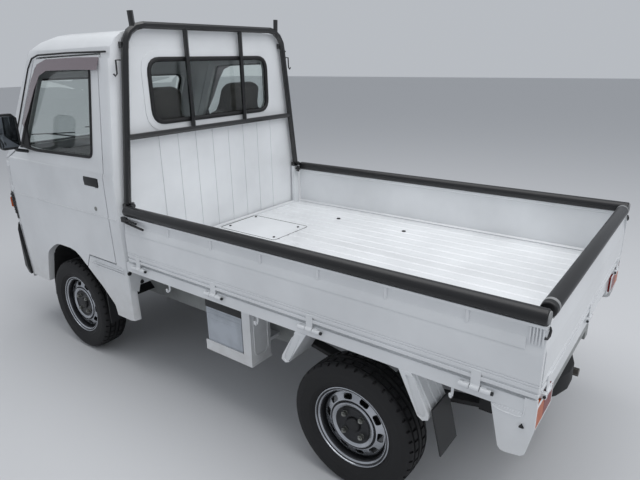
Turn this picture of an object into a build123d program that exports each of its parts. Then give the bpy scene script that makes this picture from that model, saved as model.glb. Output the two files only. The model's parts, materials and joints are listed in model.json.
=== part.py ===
"""A small cab-over pickup truck with a drop-side load bed, as separate pieces.

Frame, in millimetres: +X is the truck's left, +Y its rear, +Z up. The origin is
on the ground, in the middle of its length and width. Pressed and round forms are
made of flat strips, as many as keep them within about two millimetres of the curve.
"""

from build123d import *
from functools import lru_cache
import math
import os

# Lengths along the truck
FRONT_OVERHANG = 719
WHEELBASE = 1900
REAR_OVERHANG = 660
CAB_LENGTH = 1280
CAB_BED_GAP = 12
BUMPER_PROUD = 8
HINGE_OUT = 4
HINGE_PIN_R = 4
TOTAL_LENGTH = BUMPER_PROUD + FRONT_OVERHANG + WHEELBASE + REAR_OVERHANG + HINGE_OUT + HINGE_PIN_R
CAB_FRONT = BUMPER_PROUD - TOTAL_LENGTH / 2
CAB_BACK = CAB_FRONT + CAB_LENGTH
BED_FRONT = CAB_BACK + CAB_BED_GAP
FRONT_AXLE = CAB_FRONT + FRONT_OVERHANG
REAR_AXLE = FRONT_AXLE + WHEELBASE
BED_REAR = REAR_AXLE + REAR_OVERHANG
LEFT_RIGHT = (1, -1)

# Heights and half widths of the cab
CAB_BOTTOM = 330
CREASE_Z = 883
SHOULDER_Z = 1096
LEDGE_RISE = 14
LEDGE_IN = 8
ROOF_Z = 1770
FORM_TOP = ROOF_Z + 30
BODY_HALF = 692
BOTTOM_HALF = 682
REACH = BODY_HALF + 60
TUMBLEHOME = 0.105
SCREEN_SLOPE = 1.6
SHOULDER_SET_BACK = 32
BOTTOM_SET_BACK = 55

# The cab's plan: two crown slopes, then a round front corner, then a small rear one
CROWN_SLOPES = (0.023, 0.070)
CORNER_START = math.radians(5.3)
FRONT_CORNER_R = 180
CORNER_FLATS = 5
BACK_CORNER_R = 28
FLAT_TURN = math.radians(23)

# The roof seen from the side and from behind
HEADER_R = 850
HEADER_ANGLE = 50
ROOF_FALL_ANGLE = 2
HEADER_FLATS = 5
ROOF_EDGE_R = 120
ROOF_CROWN = 22
EDGE_FLATS = 4

# Sheet and wall thicknesses of the cab
SIDE_WALL = 40
FRONT_WALL = 42
BACK_WALL = 35
ROOF_WALL = 30
DOOR_GAP = 8
GLASS_T = 5
GLASS_INSET = 14

# Wheels
TYRE_R = 270
TYRE_W = 150
TRACK = 1210
WHEEL_X = TRACK / 2
RIM_R = 170
BEAD_R = 152
RIM_HALF = 58
RIM_T = 6
BORE_R = 30
VENT_COUNT = 10
VENT_R = 119
WHEEL_FLATS = 24
DISC_FLATS = 2 * VENT_COUNT
WHEEL_PLANE = Plane(origin=(0, 0, 0), x_dir=(0, 0, 1), z_dir=(1, 0, 0))

# Load bed
BED_FLOOR_Z = 696
BED_FLOOR_T = 26
GATE_BOTTOM = 686
GATE_TOP = 917
GATE_T = 28
GATE_GAP = 6
GATE_FRONT = BED_FRONT + 30
SILL_BOTTOM = 622
SILL_T = 40
SILL_IN = 6
PAD_R = 25
PAD_IN = 18
HINGE_Z = 656
HINGE_HALF = 15
BED_LENGTH = BED_REAR - BED_FRONT
SIDE_HINGES = [BED_FRONT + share * BED_LENGTH for share in (0.055, 0.321, 0.585, 0.908)]
TAIL_HINGES = (BODY_HALF - 106, 0, 106 - BODY_HALF)

# Ladder frame
RAIL_OUT = 355
RAIL_W = 56
RAIL_H = 100
RAIL_IN = RAIL_OUT - RAIL_W
RAIL_LOW_Z = 308
RAIL_RISE = 100
RISE_START = REAR_AXLE - 560
RISE_END = REAR_AXLE - 360
RAIL_FRONT = CAB_FRONT + 115
RAIL_BACK = BED_REAR - 45


def block(x0, x1, y0, y1, z0, z1):
    """A box between two opposite corners."""
    middle = Pos((x0 + x1) / 2, (y0 + y1) / 2, (z0 + z1) / 2)
    return middle * Box(abs(x1 - x0), abs(y1 - y0), abs(z1 - z0))


def rounded(points, radii):
    """The points (u, v) of an outline, each corner turned in flats round its radius."""
    result = []
    for i, (point, radius) in enumerate(zip(points, radii)):
        here, before, after = Vector(*point), Vector(*points[i - 1]), Vector(*points[(i + 1) % len(points)])
        back, on = (before - here).normalized(), (after - here).normalized()
        turn = math.pi - math.acos(back.dot(on))
        centre = here + (back + on).normalized() * (radius / math.cos(turn / 2))
        reach = radius * math.tan(turn / 2)
        first, last = here + back * reach - centre, here + on * reach - centre
        start = math.atan2(first.Y, first.X)
        swing = (math.atan2(last.Y, last.X) - start + math.pi) % (2 * math.pi) - math.pi
        flats = math.ceil(turn / FLAT_TURN) if radius else 0
        for k in range(flats + 1):
            angle = start + swing * k / max(flats, 1)
            result.append((centre.X + radius * math.cos(angle), centre.Y + radius * math.sin(angle)))
    return result


def outline(points, radii=None):
    """A closed face through points (u, v), each corner rounded by its radius."""
    return make_face(Polyline(*(rounded(points, radii) if radii else points), close=True))


def plate_x(face, x0, x1):
    """A face drawn in (y, z), extruded across the truck from x0 to x1."""
    return extrude(Plane.YZ.offset(min(x0, x1)) * face, amount=abs(x1 - x0))


def plate_y(face, y0, y1):
    """A face drawn in (x, z), extruded along the truck from y0 to y1."""
    return extrude(Plane.XZ.offset(-max(y0, y1)) * face, amount=abs(y1 - y0))


def side_plate(points, x0, x1, radii=None):
    """An outline in (y, z), extruded across the truck from x0 to x1."""
    return plate_x(outline(points, radii), x0, x1)


def cross_plate(points, y0, y1, radii=None):
    """An outline in (x, z), extruded along the truck from y0 to y1."""
    return plate_y(outline(points, radii), y0, y1)


def stack(sections):
    """A solid of flat faces through sections whose matching sides are parallel."""
    faces = [make_face(Polyline(*s, close=True)) for s in (sections[0], sections[-1])]
    for low, high in zip(sections, sections[1:]):
        for i in range(len(low)):
            j = (i + 1) % len(low)
            faces.append(make_face(Polyline(low[i], low[j], high[j], high[i], close=True)))
    return Part() + Solid(Shell(faces))


def polygon(plane, offset, radius, flats):
    """The corners of a regular polygon round a plane's axis, its radius to the flats."""
    reach = radius / math.cos(math.pi / flats)
    turns = [(k + 0.5) * 2 * math.pi / flats for k in range(flats)]
    return [plane.from_local_coords((reach * math.cos(a), reach * math.sin(a), offset)) for a in turns]


def barrel(levels, plane, flats):
    """A round solid in flat faces, through levels of (offset, radius)."""
    return stack([polygon(plane, offset, radius, flats) for offset, radius in levels])


def ring(profile, plane, flats):
    """A closed profile of (offset, radius), carried round an axis in flat faces."""
    corners = [polygon(plane, offset, radius, flats) for offset, radius in profile]
    faces = []
    for here, there in zip(corners, corners[1:] + corners[:1]):
        for i in range(flats):
            j = (i + 1) % flats
            faces.append(make_face(Polyline(here[i], here[j], there[j], there[i], close=True)))
    return Part() + Solid(Shell(faces))


def tube(points, radius, flats=8):
    """A bar of flat sides along a line of points, mitred where it bends."""
    places = [Vector(*p) for p in points]
    ways = [(b - a).normalized() for a, b in zip(places, places[1:])]
    section = polygon(Plane(origin=places[0], z_dir=ways[0]), 0, radius, flats)
    sections = [section]
    for place, way, following in zip(places[1:], ways, ways[1:] + ways[-1:]):
        mitre = (way + following).normalized()
        section = [p + way * ((place - p).dot(mitre) / way.dot(mitre)) for p in section]
        sections.append(section)
    return stack(sections)


def rod(start, end, radius):
    """A true round bar between two points."""
    start, end = Vector(*start), Vector(*end)
    plane = Plane(origin=start, z_dir=end - start)
    return Part() + Solid.make_cylinder(radius, (end - start).length, plane)


def joined(shapes):
    """Separate solids as one piece."""
    return Compound(children=list(shapes))


def flip(shape):
    """The same shape on the truck's right."""
    return mirror(shape, about=Plane.YZ)


def on_side(shape, side):
    """A shape made on the left, put on the left (1) or the right (-1)."""
    return shape if side > 0 else flip(shape)


def side_x(z):
    """The cab's half width at a height."""
    if z < CREASE_Z:
        share = (z - CAB_BOTTOM) / (CREASE_Z - CAB_BOTTOM)
        return BOTTOM_HALF + share * (BODY_HALF - BOTTOM_HALF)
    if z <= SHOULDER_Z:
        return BODY_HALF
    return BODY_HALF - LEDGE_IN - TUMBLEHOME * max(z - SHOULDER_Z - LEDGE_RISE, 0)


def cab_levels():
    """The cab's sections from the bottom up: height, half width, foremost line."""
    ledge_z = SHOULDER_Z + LEDGE_RISE
    ledge_front = CAB_FRONT + SHOULDER_SET_BACK + LEDGE_IN
    return [
        (CAB_BOTTOM, side_x(CAB_BOTTOM), CAB_FRONT + BOTTOM_SET_BACK),
        (CREASE_Z, side_x(CREASE_Z), CAB_FRONT),
        (SHOULDER_Z, side_x(SHOULDER_Z), CAB_FRONT + SHOULDER_SET_BACK),
        (ledge_z, side_x(ledge_z), ledge_front),
        (FORM_TOP, side_x(FORM_TOP), ledge_front + (FORM_TOP - ledge_z) / SCREEN_SLOPE),
    ]


def cab_section(z, half, front, corner=FRONT_CORNER_R, back=CAB_BACK, back_corner=BACK_CORNER_R):
    """The corners of one level section, from the middle of the front round both sides."""
    turns = [
        CORNER_START + k * (math.pi / 2 - CORNER_START) / CORNER_FLATS for k in range(CORNER_FLATS + 1)
    ]
    touch_x = half - corner + corner * math.sin(turns[0])
    middle_x = touch_x / 2
    middle_y = front + CROWN_SLOPES[0] * middle_x
    touch_y = middle_y + CROWN_SLOPES[1] * (touch_x - middle_x)
    centre_y = touch_y + corner * math.cos(turns[0])
    left = [(0, front), (middle_x, middle_y)]
    left += [(half - corner + corner * math.sin(a), centre_y - corner * math.cos(a)) for a in turns]
    cut = back_corner * (1 - math.sqrt(0.5))
    left += [(half, back - back_corner), (half - cut, back - cut), (half - back_corner, back)]
    right = [(-x, y) for x, y in reversed(left[1:])]
    return [(x, y, z) for x, y in left + right]


def roof_line(drop):
    """The cab's side view: everything behind the screen and under the roof."""
    steep, flat = math.radians(HEADER_ANGLE), math.radians(ROOF_FALL_ANGLE)
    start_z = ROOF_Z - HEADER_R * (math.cos(flat) - math.cos(steep))
    start_y = CAB_FRONT + SHOULDER_SET_BACK + LEDGE_IN + (start_z - SHOULDER_Z - LEDGE_RISE) / SCREEN_SLOPE
    centre_y = start_y + HEADER_R * math.sin(steep)
    centre_z = start_z - HEADER_R * math.cos(steep)
    radius = HEADER_R - drop
    arc = []
    for k in range(HEADER_FLATS + 1):
        angle = steep + (flat - steep) * k / HEADER_FLATS
        arc.append((centre_y - radius * math.sin(angle), centre_z + radius * math.cos(angle)))
    rear_y = CAB_BACK + 100
    rear_z = arc[-1][1] + (rear_y - arc[-1][0]) * math.tan(flat) / 2
    low, far = CAB_BOTTOM - 50, CAB_FRONT - 200
    points = arc + [(rear_y, rear_z), (rear_y, low), (far, low), (far, arc[0][1])]
    return side_plate(points, -REACH, REACH)


def roof_arch(drop):
    """The cab's rear view: a crowned roof with rounded edges."""
    crown_z = ROOF_Z + 8 - drop
    half = side_x(ROOF_Z + 8) + 1
    inner = half - ROOF_EDGE_R
    edge_z = crown_z - ROOF_CROWN
    left = [(inner / 2, crown_z - ROOF_CROWN / 4)]
    for k in range(EDGE_FLATS + 1):
        angle = math.pi / 2 * k / EDGE_FLATS
        left.append((inner + ROOF_EDGE_R * math.sin(angle), edge_z - ROOF_EDGE_R * (1 - math.cos(angle))))
    left += [(REACH, edge_z - ROOF_EDGE_R), (REACH, CAB_BOTTOM - 50)]
    points = [(0, crown_z)] + left + [(-x, z) for x, z in reversed(left)]
    return cross_plate(points, CAB_FRONT - 100, CAB_BACK + 200)


@lru_cache
def cab_form(side_in=0.0, front_in=0.0, back_in=0.0, roof_in=0.0):
    """The cab's form, moved inwards by a wall thickness on each side."""
    sections = [
        cab_section(
            z,
            half - side_in,
            front + front_in,
            FRONT_CORNER_R - side_in,
            CAB_BACK - back_in,
            max(BACK_CORNER_R - side_in, 4),
        )
        for z, half, front in cab_levels()
    ]
    return stack(sections) & roof_line(roof_in) & roof_arch(roof_in)


# Door and window outlines on the cab's side, as (y, z)
DOOR_FRONT = CAB_FRONT + 212
DOOR_REAR = CAB_BACK - 86
DOOR_LOW_Z = 357
DOOR_SILL_Z = 640
DOOR_TOP_Z = ROOF_Z - 120
BACK_LOW_Z = 520
SCREEN_LOW = 1136
SCREEN_TOP = ROOF_Z - 238
SCREEN_HALF = (BODY_HALF - 102, BODY_HALF - 147)
ARCH_REAR = FRONT_AXLE + 232
SILL_TURN = FRONT_AXLE + 182
HANDLE_Z = 1054
DOOR_BARRELS = (900, 1046)
BARREL_H = 32
BARREL_R = 3.5
DOOR_AXIS_X = BODY_HALF + 3
DOOR_AXIS_Y = DOOR_FRONT - 4


def door_outline():
    return [
        (DOOR_FRONT, DOOR_LOW_Z),
        (SILL_TURN, DOOR_LOW_Z),
        (SILL_TURN, DOOR_SILL_Z - 90),
        (ARCH_REAR, DOOR_SILL_Z),
        (DOOR_REAR, DOOR_SILL_Z),
        (DOOR_REAR, DOOR_TOP_Z),
        (CAB_FRONT + 612, DOOR_TOP_Z - 12),
        (CAB_FRONT + 338, SHOULDER_Z + 54),
        (DOOR_FRONT, SHOULDER_Z - 6),
    ]


def door_cutter(grow=0.0):
    face = outline(door_outline())
    if grow:
        face = offset(face, amount=grow, kind=Kind.INTERSECTION)
    return plate_x(face, 400, 800)


def side_window_cutter():
    points = [
        (DOOR_REAR - 86, 1176),
        (DOOR_REAR - 64, DOOR_TOP_Z - 50),
        (CAB_FRONT + 634, DOOR_TOP_Z - 68),
        (CAB_FRONT + 402, 1176),
        (CAB_FRONT + 561, 1165),
    ]
    return side_plate(points, 400, 800, [34, 34, 50, 26, 120])


def arch_cutter():
    """The front wheel's arch, an even round opening that runs out at the sill."""
    a = FRONT_AXLE
    points = [
        (a - 314, CAB_BOTTOM - 100),
        (a - 297, 357),
        (a - 236, 560),
        (a - 110, 638),
        (a + 90, 638),
        (a + 315, 470),
        (a + 406, 387),
        (a + 440, CAB_BOTTOM - 100),
    ]
    return side_plate(points, 380, 800, [0, 30, 90, 160, 150, 60, 30, 0])


def roof_region():
    """All that belongs to the roof panel, seen from the side."""
    points = [
        (CAB_BACK + 150, ROOF_Z - 78),
        (CAB_FRONT + 640, ROOF_Z - 96),
        (CAB_FRONT + 372, SCREEN_TOP - 12),
        (CAB_FRONT - 150, SCREEN_TOP - 12),
        (CAB_FRONT - 150, FORM_TOP + 60),
        (CAB_BACK + 150, FORM_TOP + 60),
    ]
    return side_plate(points, -REACH, REACH)


def screen_cutter():
    """The windscreen's opening, seen from the front."""
    low, high = SCREEN_HALF
    points = [(-low, SCREEN_LOW), (low, SCREEN_LOW), (high, SCREEN_TOP), (-high, SCREEN_TOP)]
    return cross_plate(points, CAB_FRONT - 60, CAB_FRONT + 520, [70, 70, 60, 60])


# Rear window: half width, bottom, top, corner radius
BACK_WINDOW = (422, 1321, ROOF_Z - 140, 72)
FRAME_W = 38
FRAME_PROUD = 3
GROOVE_HALF = 20
GROOVE_STEP = 120
GROOVE_DEPTH = 4


def rear_window_plate(grow, y0, y1):
    """The rear window's outline grown all round, as a plate."""
    half, low, high, radius = BACK_WINDOW
    x, z0, z1 = half + grow, low - grow, high + grow
    return cross_plate([(-x, z0), (x, z0), (x, z1), (-x, z1)], y0, y1, [radius + grow / 2] * 4)


def pressed_back(panel):
    """The back panel with its raised window frame and its upright grooves."""
    low = BACK_WINDOW[1] - FRAME_W
    frame = rear_window_plate(FRAME_W, CAB_BACK - 1, CAB_BACK + FRAME_PROUD)
    frame = frame - rear_window_plate(0, CAB_BACK - 9, CAB_BACK + 9)
    grooves = []
    for k in range(-4, 4):
        x = GROOVE_STEP * (k + 0.5)
        grooves.append(
            block(x - GROOVE_HALF, x + GROOVE_HALF, CAB_BACK - GROOVE_DEPTH, CAB_BACK + 9, 600, low - 24)
        )
    return (panel - grooves) + frame


def side_details(side):
    """The left side panel with its crease, its rocker lines and its bracket behind."""
    lines = [block(BODY_HALF - 2, REACH, DOOR_REAR, CAB_BACK - 20, CREASE_Z - 3, CREASE_Z + 3)]
    for z in (628, 612, 596):
        x = side_x(z)
        lines.append(block(x - 2, x + 20, SILL_TURN + 62, DOOR_REAR + 50, z - 2.5, z + 2.5))
    bracket_points = [(677, 506), (680, 614), (640, 600), (608, 566), (632, 486)]
    bracket = cross_plate(bracket_points, CAB_BACK, CAB_BACK + 4)
    return (side - lines) + bracket


def door_details(door):
    """The left door with its crease, its handle recess and its hinge barrels."""
    recess = side_plate(handle_outline(0), BODY_HALF - 12, REACH)
    crease = block(BODY_HALF - 2, REACH, DOOR_FRONT + 40, DOOR_REAR + 5, CREASE_Z - 3, CREASE_Z + 3)
    door = door - [recess, crease]
    x, y, r = DOOR_AXIS_X, DOOR_AXIS_Y, BARREL_R
    eye = ThreePointArc((x - r, y), (x, y - r), (x + r, y))
    inner = BODY_HALF - 1
    points = [(x + r, y), (x + r, y + 5), (x, y + 10), (x, y + 20), (inner, y + 20), (inner, y), (x - r, y)]
    face = make_face([eye] + list(Polyline(*points).edges()))
    for z in DOOR_BARRELS:
        door += Pos(0, 0, z) * extrude(face, amount=BARREL_H)
    return door


def handle_outline(shrink):
    """The door handle's recess, taller at its rear, as (y, z)."""
    front, rear = CAB_BACK - 262 + shrink, CAB_BACK - 128 - shrink
    high, low = HANDLE_Z + 22 - shrink, HANDLE_Z - 14 + shrink
    return [
        (front, low + 6),
        (front + 10, low),
        (rear - 46, low),
        (rear - 34, low - 12),
        (rear - 8, low - 12),
        (rear, low - 2),
        (rear, high),
        (front, high - 6),
    ]


@lru_cache
def cab_pieces():
    """The cab's shell, split along its panel gaps, and its glass."""
    outer = cab_form()
    inner = cab_form(SIDE_WALL, FRONT_WALL, BACK_WALL, ROOF_WALL)
    behind = cab_form(SIDE_WALL, FRONT_WALL, 0, ROOF_WALL)
    deep = GLASS_INSET + GLASS_T
    glass = cab_form(GLASS_INSET, GLASS_INSET, GLASS_INSET, ROOF_WALL / 2)
    glass = glass - cab_form(deep, deep, deep, ROOF_WALL / 2 + GLASS_T)
    shell = outer - inner
    screen, window = screen_cutter(), side_window_cutter()
    back_window = rear_window_plate(0, CAB_BACK - 120, CAB_BACK + 60)
    arch, roof_zone = arch_cutter(), roof_region()
    front_zone = block(-REACH, REACH, CAB_FRONT - 50, DOOR_FRONT - DOOR_GAP, 0, SCREEN_LOW)
    left = block(0, REACH, CAB_FRONT - 50, CAB_BACK + 50, 0, FORM_TOP + 50)
    back_zone = block(-REACH, REACH, CAB_BACK - 60, CAB_BACK + 50, BACK_LOW_Z, FORM_TOP)
    low_strip = block(0, REACH, CAB_FRONT - 50, FRONT_AXLE, 0, DOOR_LOW_Z)

    roof = (shell & roof_zone) - screen
    below = shell - roof_zone
    back = (below & behind & back_zone) - back_window
    front = (below & front_zone) - screen
    rest = ((below - behind - front_zone) & left) - screen
    side = rest - door_cutter(DOOR_GAP) - arch - low_strip
    door = (below & left & door_cutter()) - window - arch
    side, door = side_details(side), door_details(door)
    side_glass = glass & window & left
    return {
        "cab_roof": roof,
        "cab_back_panel": pressed_back(back),
        "cab_front_panel": front,
        "cab_side_left": side,
        "cab_side_right": flip(side),
        "door_left": door,
        "door_right": flip(door),
        "windscreen": glass & screen,
        "rear_window": glass & back_window,
        "door_glass_left": side_glass,
        "door_glass_right": flip(side_glass),
    }


def tyre():
    """A tyre on the left, round its own middle: a ring that seats on the rim's beads."""
    bead, half = RIM_HALF - 8.5, TYRE_W / 2
    out = [
        (bead, BEAD_R),
        (bead + 8, RIM_R + 1),
        (half, RIM_R + 44),
        (half - 5, TYRE_R - 24),
        (half - 30, TYRE_R),
    ]
    return ring(out + [(-x, r) for x, r in reversed(out)], WHEEL_PLANE, WHEEL_FLATS)


def rim():
    """A steel wheel on the left: barrel, raised disc, ten vents and a centre bore."""
    w, t = RIM_HALF, RIM_T
    barrel_profile = [
        (w, RIM_R),
        (w - 8, BEAD_R),
        (8 - w, BEAD_R),
        (-w, RIM_R),
        (12 - w, BEAD_R - t),
        (w - 10, BEAD_R - t),
        (w, RIM_R - t),
    ]
    edge = BEAD_R - t + 1
    disc_profile = [
        (14, edge),
        (30, 98),
        (25, 62),
        (25, BORE_R - 4),
        (30, BORE_R - 4),
        (30, 70),
        (43, 92),
        (24, edge),
    ]
    wheel = ring(barrel_profile, WHEEL_PLANE, WHEEL_FLATS) + ring(disc_profile, WHEEL_PLANE, DISC_FLATS)
    corners = [(-17, 0), (-12, -10), (12, -10), (17, 0), (12, 10), (-12, 10)]
    vent = side_plate([(y, VENT_R + z) for y, z in corners], 5, w)
    vents = [Rot(360 / VENT_COUNT * k, 0, 0) * vent for k in range(VENT_COUNT)]
    return wheel - vents - rod((0, 0, 0), (w, 0, 0), BORE_R)


# The steering axis leans inwards from the ball joint to the strut's top
BALL_X = 545
BALL_Z = 178
STRUT_TOP_X = 445
STRUT_TOP_Z = 740
STRUT_SPLIT_Z = 536
HUB_OUT = 24
HUB_R = 60
DRUM_R = 105
ROUND_FLATS = 16


def strut_point(z):
    """The point of the left steering axis at a height."""
    share = (z - BALL_Z) / (STRUT_TOP_Z - BALL_Z)
    return (BALL_X + (STRUT_TOP_X - BALL_X) * share, FRONT_AXLE, z)


def across(levels, y, flats=ROUND_FLATS):
    """A round solid about an axle, through levels of (place across, radius)."""
    plane = Plane(origin=(0, y, TYRE_R), x_dir=(0, 0, 1), z_dir=(1, 0, 0))
    return barrel(levels, plane, flats)


def knuckle():
    """The left hub carrier with its brake disc, strut tube and steering arm."""
    levels = [
        (BALL_X - 50, 44),
        (WHEEL_X - 30, 44),
        (WHEEL_X - 30, DRUM_R),
        (WHEEL_X - 20, DRUM_R),
        (WHEEL_X - 20, HUB_R),
        (WHEEL_X + HUB_OUT, HUB_R),
    ]
    body = across(levels, FRONT_AXLE)
    strut = tube([strut_point(BALL_Z + 24), strut_point(STRUT_SPLIT_Z - 2)], 20, 8)
    strut += rod(strut_point(BALL_Z + 2), strut_point(BALL_Z + 26), 9)
    arm = tube([(BALL_X - 25, FRONT_AXLE, 240), (BALL_X - 50, FRONT_AXLE + 120, 240)], 11, 6)
    return body + strut + arm


def front_suspension():
    """Strut tops and lower arms, which stay with the frame."""
    under = SEAT_BOX_Z - FLOOR_T
    spring = tube([strut_point(STRUT_SPLIT_Z), strut_point(under - 30)], 46, 12)
    x = strut_point(under)[0]
    top = block(x - 62, x + 62, FRONT_AXLE - 62, FRONT_AXLE + 62, under - 34, under)
    foot_z = BALL_Z - 30
    lower = tube([strut_point(foot_z - 12), strut_point(BALL_Z - 2)], 20, 10)
    # place along the truck of an arm's inner end, its height, its radius
    for y, z, radius in ((FRONT_AXLE, 230, 14), (FRONT_AXLE - 230, 240, 11)):
        lower += tube([(RAIL_IN, y, z), strut_point(foot_z)], radius, 6)
        lower += block(RAIL_IN - 20, RAIL_IN + 20, y - 22, y + 22, z - 18, RAIL_LOW_Z)
    return joined([spring + top, flip(spring + top), lower, flip(lower)])


def chassis_frame():
    """Two rails that run low under the cab and rise over the rear axle."""
    top = RAIL_LOW_Z + RAIL_H
    points = [
        (RAIL_FRONT, RAIL_LOW_Z),
        (RISE_START, RAIL_LOW_Z),
        (RISE_END, RAIL_LOW_Z + RAIL_RISE),
        (RAIL_BACK, RAIL_LOW_Z + RAIL_RISE),
        (RAIL_BACK, top + RAIL_RISE),
        (RISE_END - 20, top + RAIL_RISE),
        (RISE_START - 20, top),
        (RAIL_FRONT, top),
    ]
    rail = side_plate(points, RAIL_IN, RAIL_OUT)
    frame = rail + flip(rail)
    # place along the truck, the rail's lowest level there
    for y, z in (
        (RAIL_FRONT, RAIL_LOW_Z),
        (FRONT_AXLE - 110, RAIL_LOW_Z),
        (CAB_BACK + 300, RAIL_LOW_Z),
        (REAR_AXLE - 320, RAIL_LOW_Z + RAIL_RISE),
        (RAIL_BACK - 60, RAIL_LOW_Z + RAIL_RISE),
    ):
        frame += block(-RAIL_IN, RAIL_IN, y, y + 60, z + RAIL_H - 55, z + RAIL_H - 5)
    return frame


SHAFT_FRONT = FRONT_AXLE + 772


def engine():
    """The engine as one plain mass under the seats, with its gearbox."""
    low = block(-190, 190, FRONT_AXLE + 40, FRONT_AXLE + 500, 250, 640)
    gearbox = block(-110, 110, FRONT_AXLE + 500, SHAFT_FRONT - 2, 262, 420)
    return low + gearbox


def rear_axle():
    """Axle tube, differential, brake drums and the propeller shaft."""
    end = WHEEL_X + HUB_OUT
    axle = across([(90 - end, 34), (end - 90, 34)], REAR_AXLE, 12)
    axle += across([(-105, 50), (-55, 102), (55, 102), (105, 50)], REAR_AXLE, 12)
    drum = [(end - 90, DRUM_R), (end - 20, DRUM_R), (end - 20, HUB_R), (end, HUB_R)]
    for s in LEFT_RIGHT:
        axle += on_side(across(drum, REAR_AXLE), s)
    return axle + tube([(0, SHAFT_FRONT, 310), (0, REAR_AXLE - 60, 285)], 28, 10)


LEAF_HALF = 430
HANGER_HALF = 25


def leaf_springs():
    """Leaf packs beside the rails, with their hangers and the axle's pads."""
    x0, x1 = RAIL_OUT + 12, RAIL_OUT + 62
    half, y = LEAF_HALF, REAR_AXLE
    points = [
        (y - half, 392),
        (y - half / 2, 350),
        (y - 60, 326),
        (y + 60, 326),
        (y + half / 2, 350),
        (y + half, 392),
        (y + half, 410),
        (y + half / 2, 372),
        (y + 60, 350),
        (y - 60, 350),
        (y - half / 2, 372),
        (y - half, 410),
    ]
    leaf = side_plate(points, x0, x1)
    leaf += block(x0, x1, y - 60, y + 60, TYRE_R + 38, 330)
    for s in LEFT_RIGHT:
        at = y + s * half
        leaf += block(RAIL_OUT, x1, at - HANGER_HALF, at + HANGER_HALF, 380, 450)
    return joined([leaf, flip(leaf)])


TANK_LENGTH = 500
TANK_OUT = BODY_HALF - 92


def fuel_tank():
    """The tank beside the right rail, its outer lower edge chamfered."""
    low, high, cut = 310, 500, 30
    rear = REAR_AXLE - LEAF_HALF - HANGER_HALF - 104
    outer = [(-TANK_OUT, high), (-TANK_OUT, low + cut), (cut - TANK_OUT, low)]
    return cross_plate(outer + [(-RAIL_OUT, low), (-RAIL_OUT, high)], rear - TANK_LENGTH, rear)


def exhaust():
    """Front pipe, silencer and the tail pipe that climbs over the axle."""
    x, z = -190, 300
    box_front, box_back = REAR_AXLE - 730, REAR_AXLE - 380
    pipe = tube([(x, SHAFT_FRONT, z), (x, box_front, z)], 19)
    box = tube([(x, box_front, z), (x, box_back, z)], 56, 12)
    points = [
        (x, box_back, z),
        (x, box_back + 60, z),
        (x, REAR_AXLE - 160, z + 72),
        (x, REAR_AXLE - 110, z + 85),
        (x, REAR_AXLE + 110, z + 85),
        (x, REAR_AXLE + 150, z + 72),
        (x, REAR_AXLE + 220, z),
        (x, BED_REAR - 30, z),
    ]
    return pipe + box + tube(points, 16, 6)


SPARE_R = 245
SPARE_Y = REAR_AXLE + 385


def spare_wheel():
    """The spare lies flat between the rails, hung from a cross bar."""
    low, high = 330, 440
    plane = Plane(origin=(0, SPARE_Y, 0), z_dir=(0, 0, 1))
    levels = [(low, SPARE_R - 20), (low + 15, SPARE_R), (high - 15, SPARE_R), (high, SPARE_R - 20)]
    hook = block(-15, 15, SPARE_Y - 15, SPARE_Y + 15, high, 480)
    bar = block(-RAIL_IN, RAIL_IN, SPARE_Y - 25, SPARE_Y + 25, 470, 500)
    return barrel(levels, plane, 20) + hook + bar


FLOOR_T = 16
FOOTWELL_Z = 424
SEAT_BOX_Z = 800
RISER_Y = FRONT_AXLE - 300


def cabin(shape):
    """What of a shape lies inside the cab, clear of its walls."""
    return shape & cab_form(SIDE_WALL + DOOR_GAP, FRONT_WALL, BACK_WALL, ROOF_WALL)


def cab_floor():
    """One folded pan: toe board, foot well, seat riser and the seat box's top."""
    f, b, t = CAB_FRONT + 30, CAB_BACK - 30, FLOOR_T
    points = [
        (f, 640),
        (f + 70, FOOTWELL_Z - t),
        (RISER_Y, FOOTWELL_Z - t),
        (RISER_Y, SEAT_BOX_Z - t),
        (b, SEAT_BOX_Z - t),
        (b, SEAT_BOX_Z),
        (RISER_Y - t, SEAT_BOX_Z),
        (RISER_Y - t, FOOTWELL_Z),
        (f + 70 + t, FOOTWELL_Z),
        (f + t, 640),
    ]
    return cabin(side_plate(points, -BODY_HALF, BODY_HALF))


SEAT_X = 300
SEAT_HALF = 226
SEAT_TOP = SEAT_BOX_Z + 110
SEAT_BACK_TOP = 1490


def seat_base():
    """A cushion with a rounded front edge and a raised rear."""
    front, rear, low = CAB_BACK - 775, CAB_BACK - 335, SEAT_BOX_Z
    points = [
        (front + 12, low),
        (rear, low),
        (rear, SEAT_TOP - 18),
        (rear - 40, SEAT_TOP - 14),
        (front + 60, SEAT_TOP),
        (front + 20, SEAT_TOP - 12),
        (front, SEAT_TOP - 45),
    ]
    return side_plate(points, SEAT_X - SEAT_HALF, SEAT_X + SEAT_HALF)


def seat_back():
    """A leaning back with round shoulders that narrow into its head rest."""
    foot, lean = CAB_BACK - 325, 0.235
    low, rise = SEAT_BOX_Z, SEAT_BACK_TOP - SEAT_BOX_Z
    side = [
        (foot, low),
        (foot + 120, low),
        (foot + 100 + lean * rise, SEAT_BACK_TOP - 25),
        (foot + 78 + lean * rise, SEAT_BACK_TOP),
        (foot + 45 + lean * rise, SEAT_BACK_TOP),
        (foot + 24 + lean * rise, SEAT_BACK_TOP - 25),
        (foot - 12 + lean * 330, low + 330),
    ]
    # half width, height
    shape = [(SEAT_HALF, low), (SEAT_HALF, 1240), (212, 1290), (176, 1322), (140, 1334)]
    shape += [(128, 1372), (126, 1450), (106, 1482), (80, SEAT_BACK_TOP)]
    shape = shape + [(-x, z) for x, z in reversed(shape)]
    front_view = cross_plate([(SEAT_X + x, z) for x, z in shape], CAB_BACK - 400, CAB_BACK)
    return side_plate(side, SEAT_X - SEAT_HALF, SEAT_X + SEAT_HALF) & front_view


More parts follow.
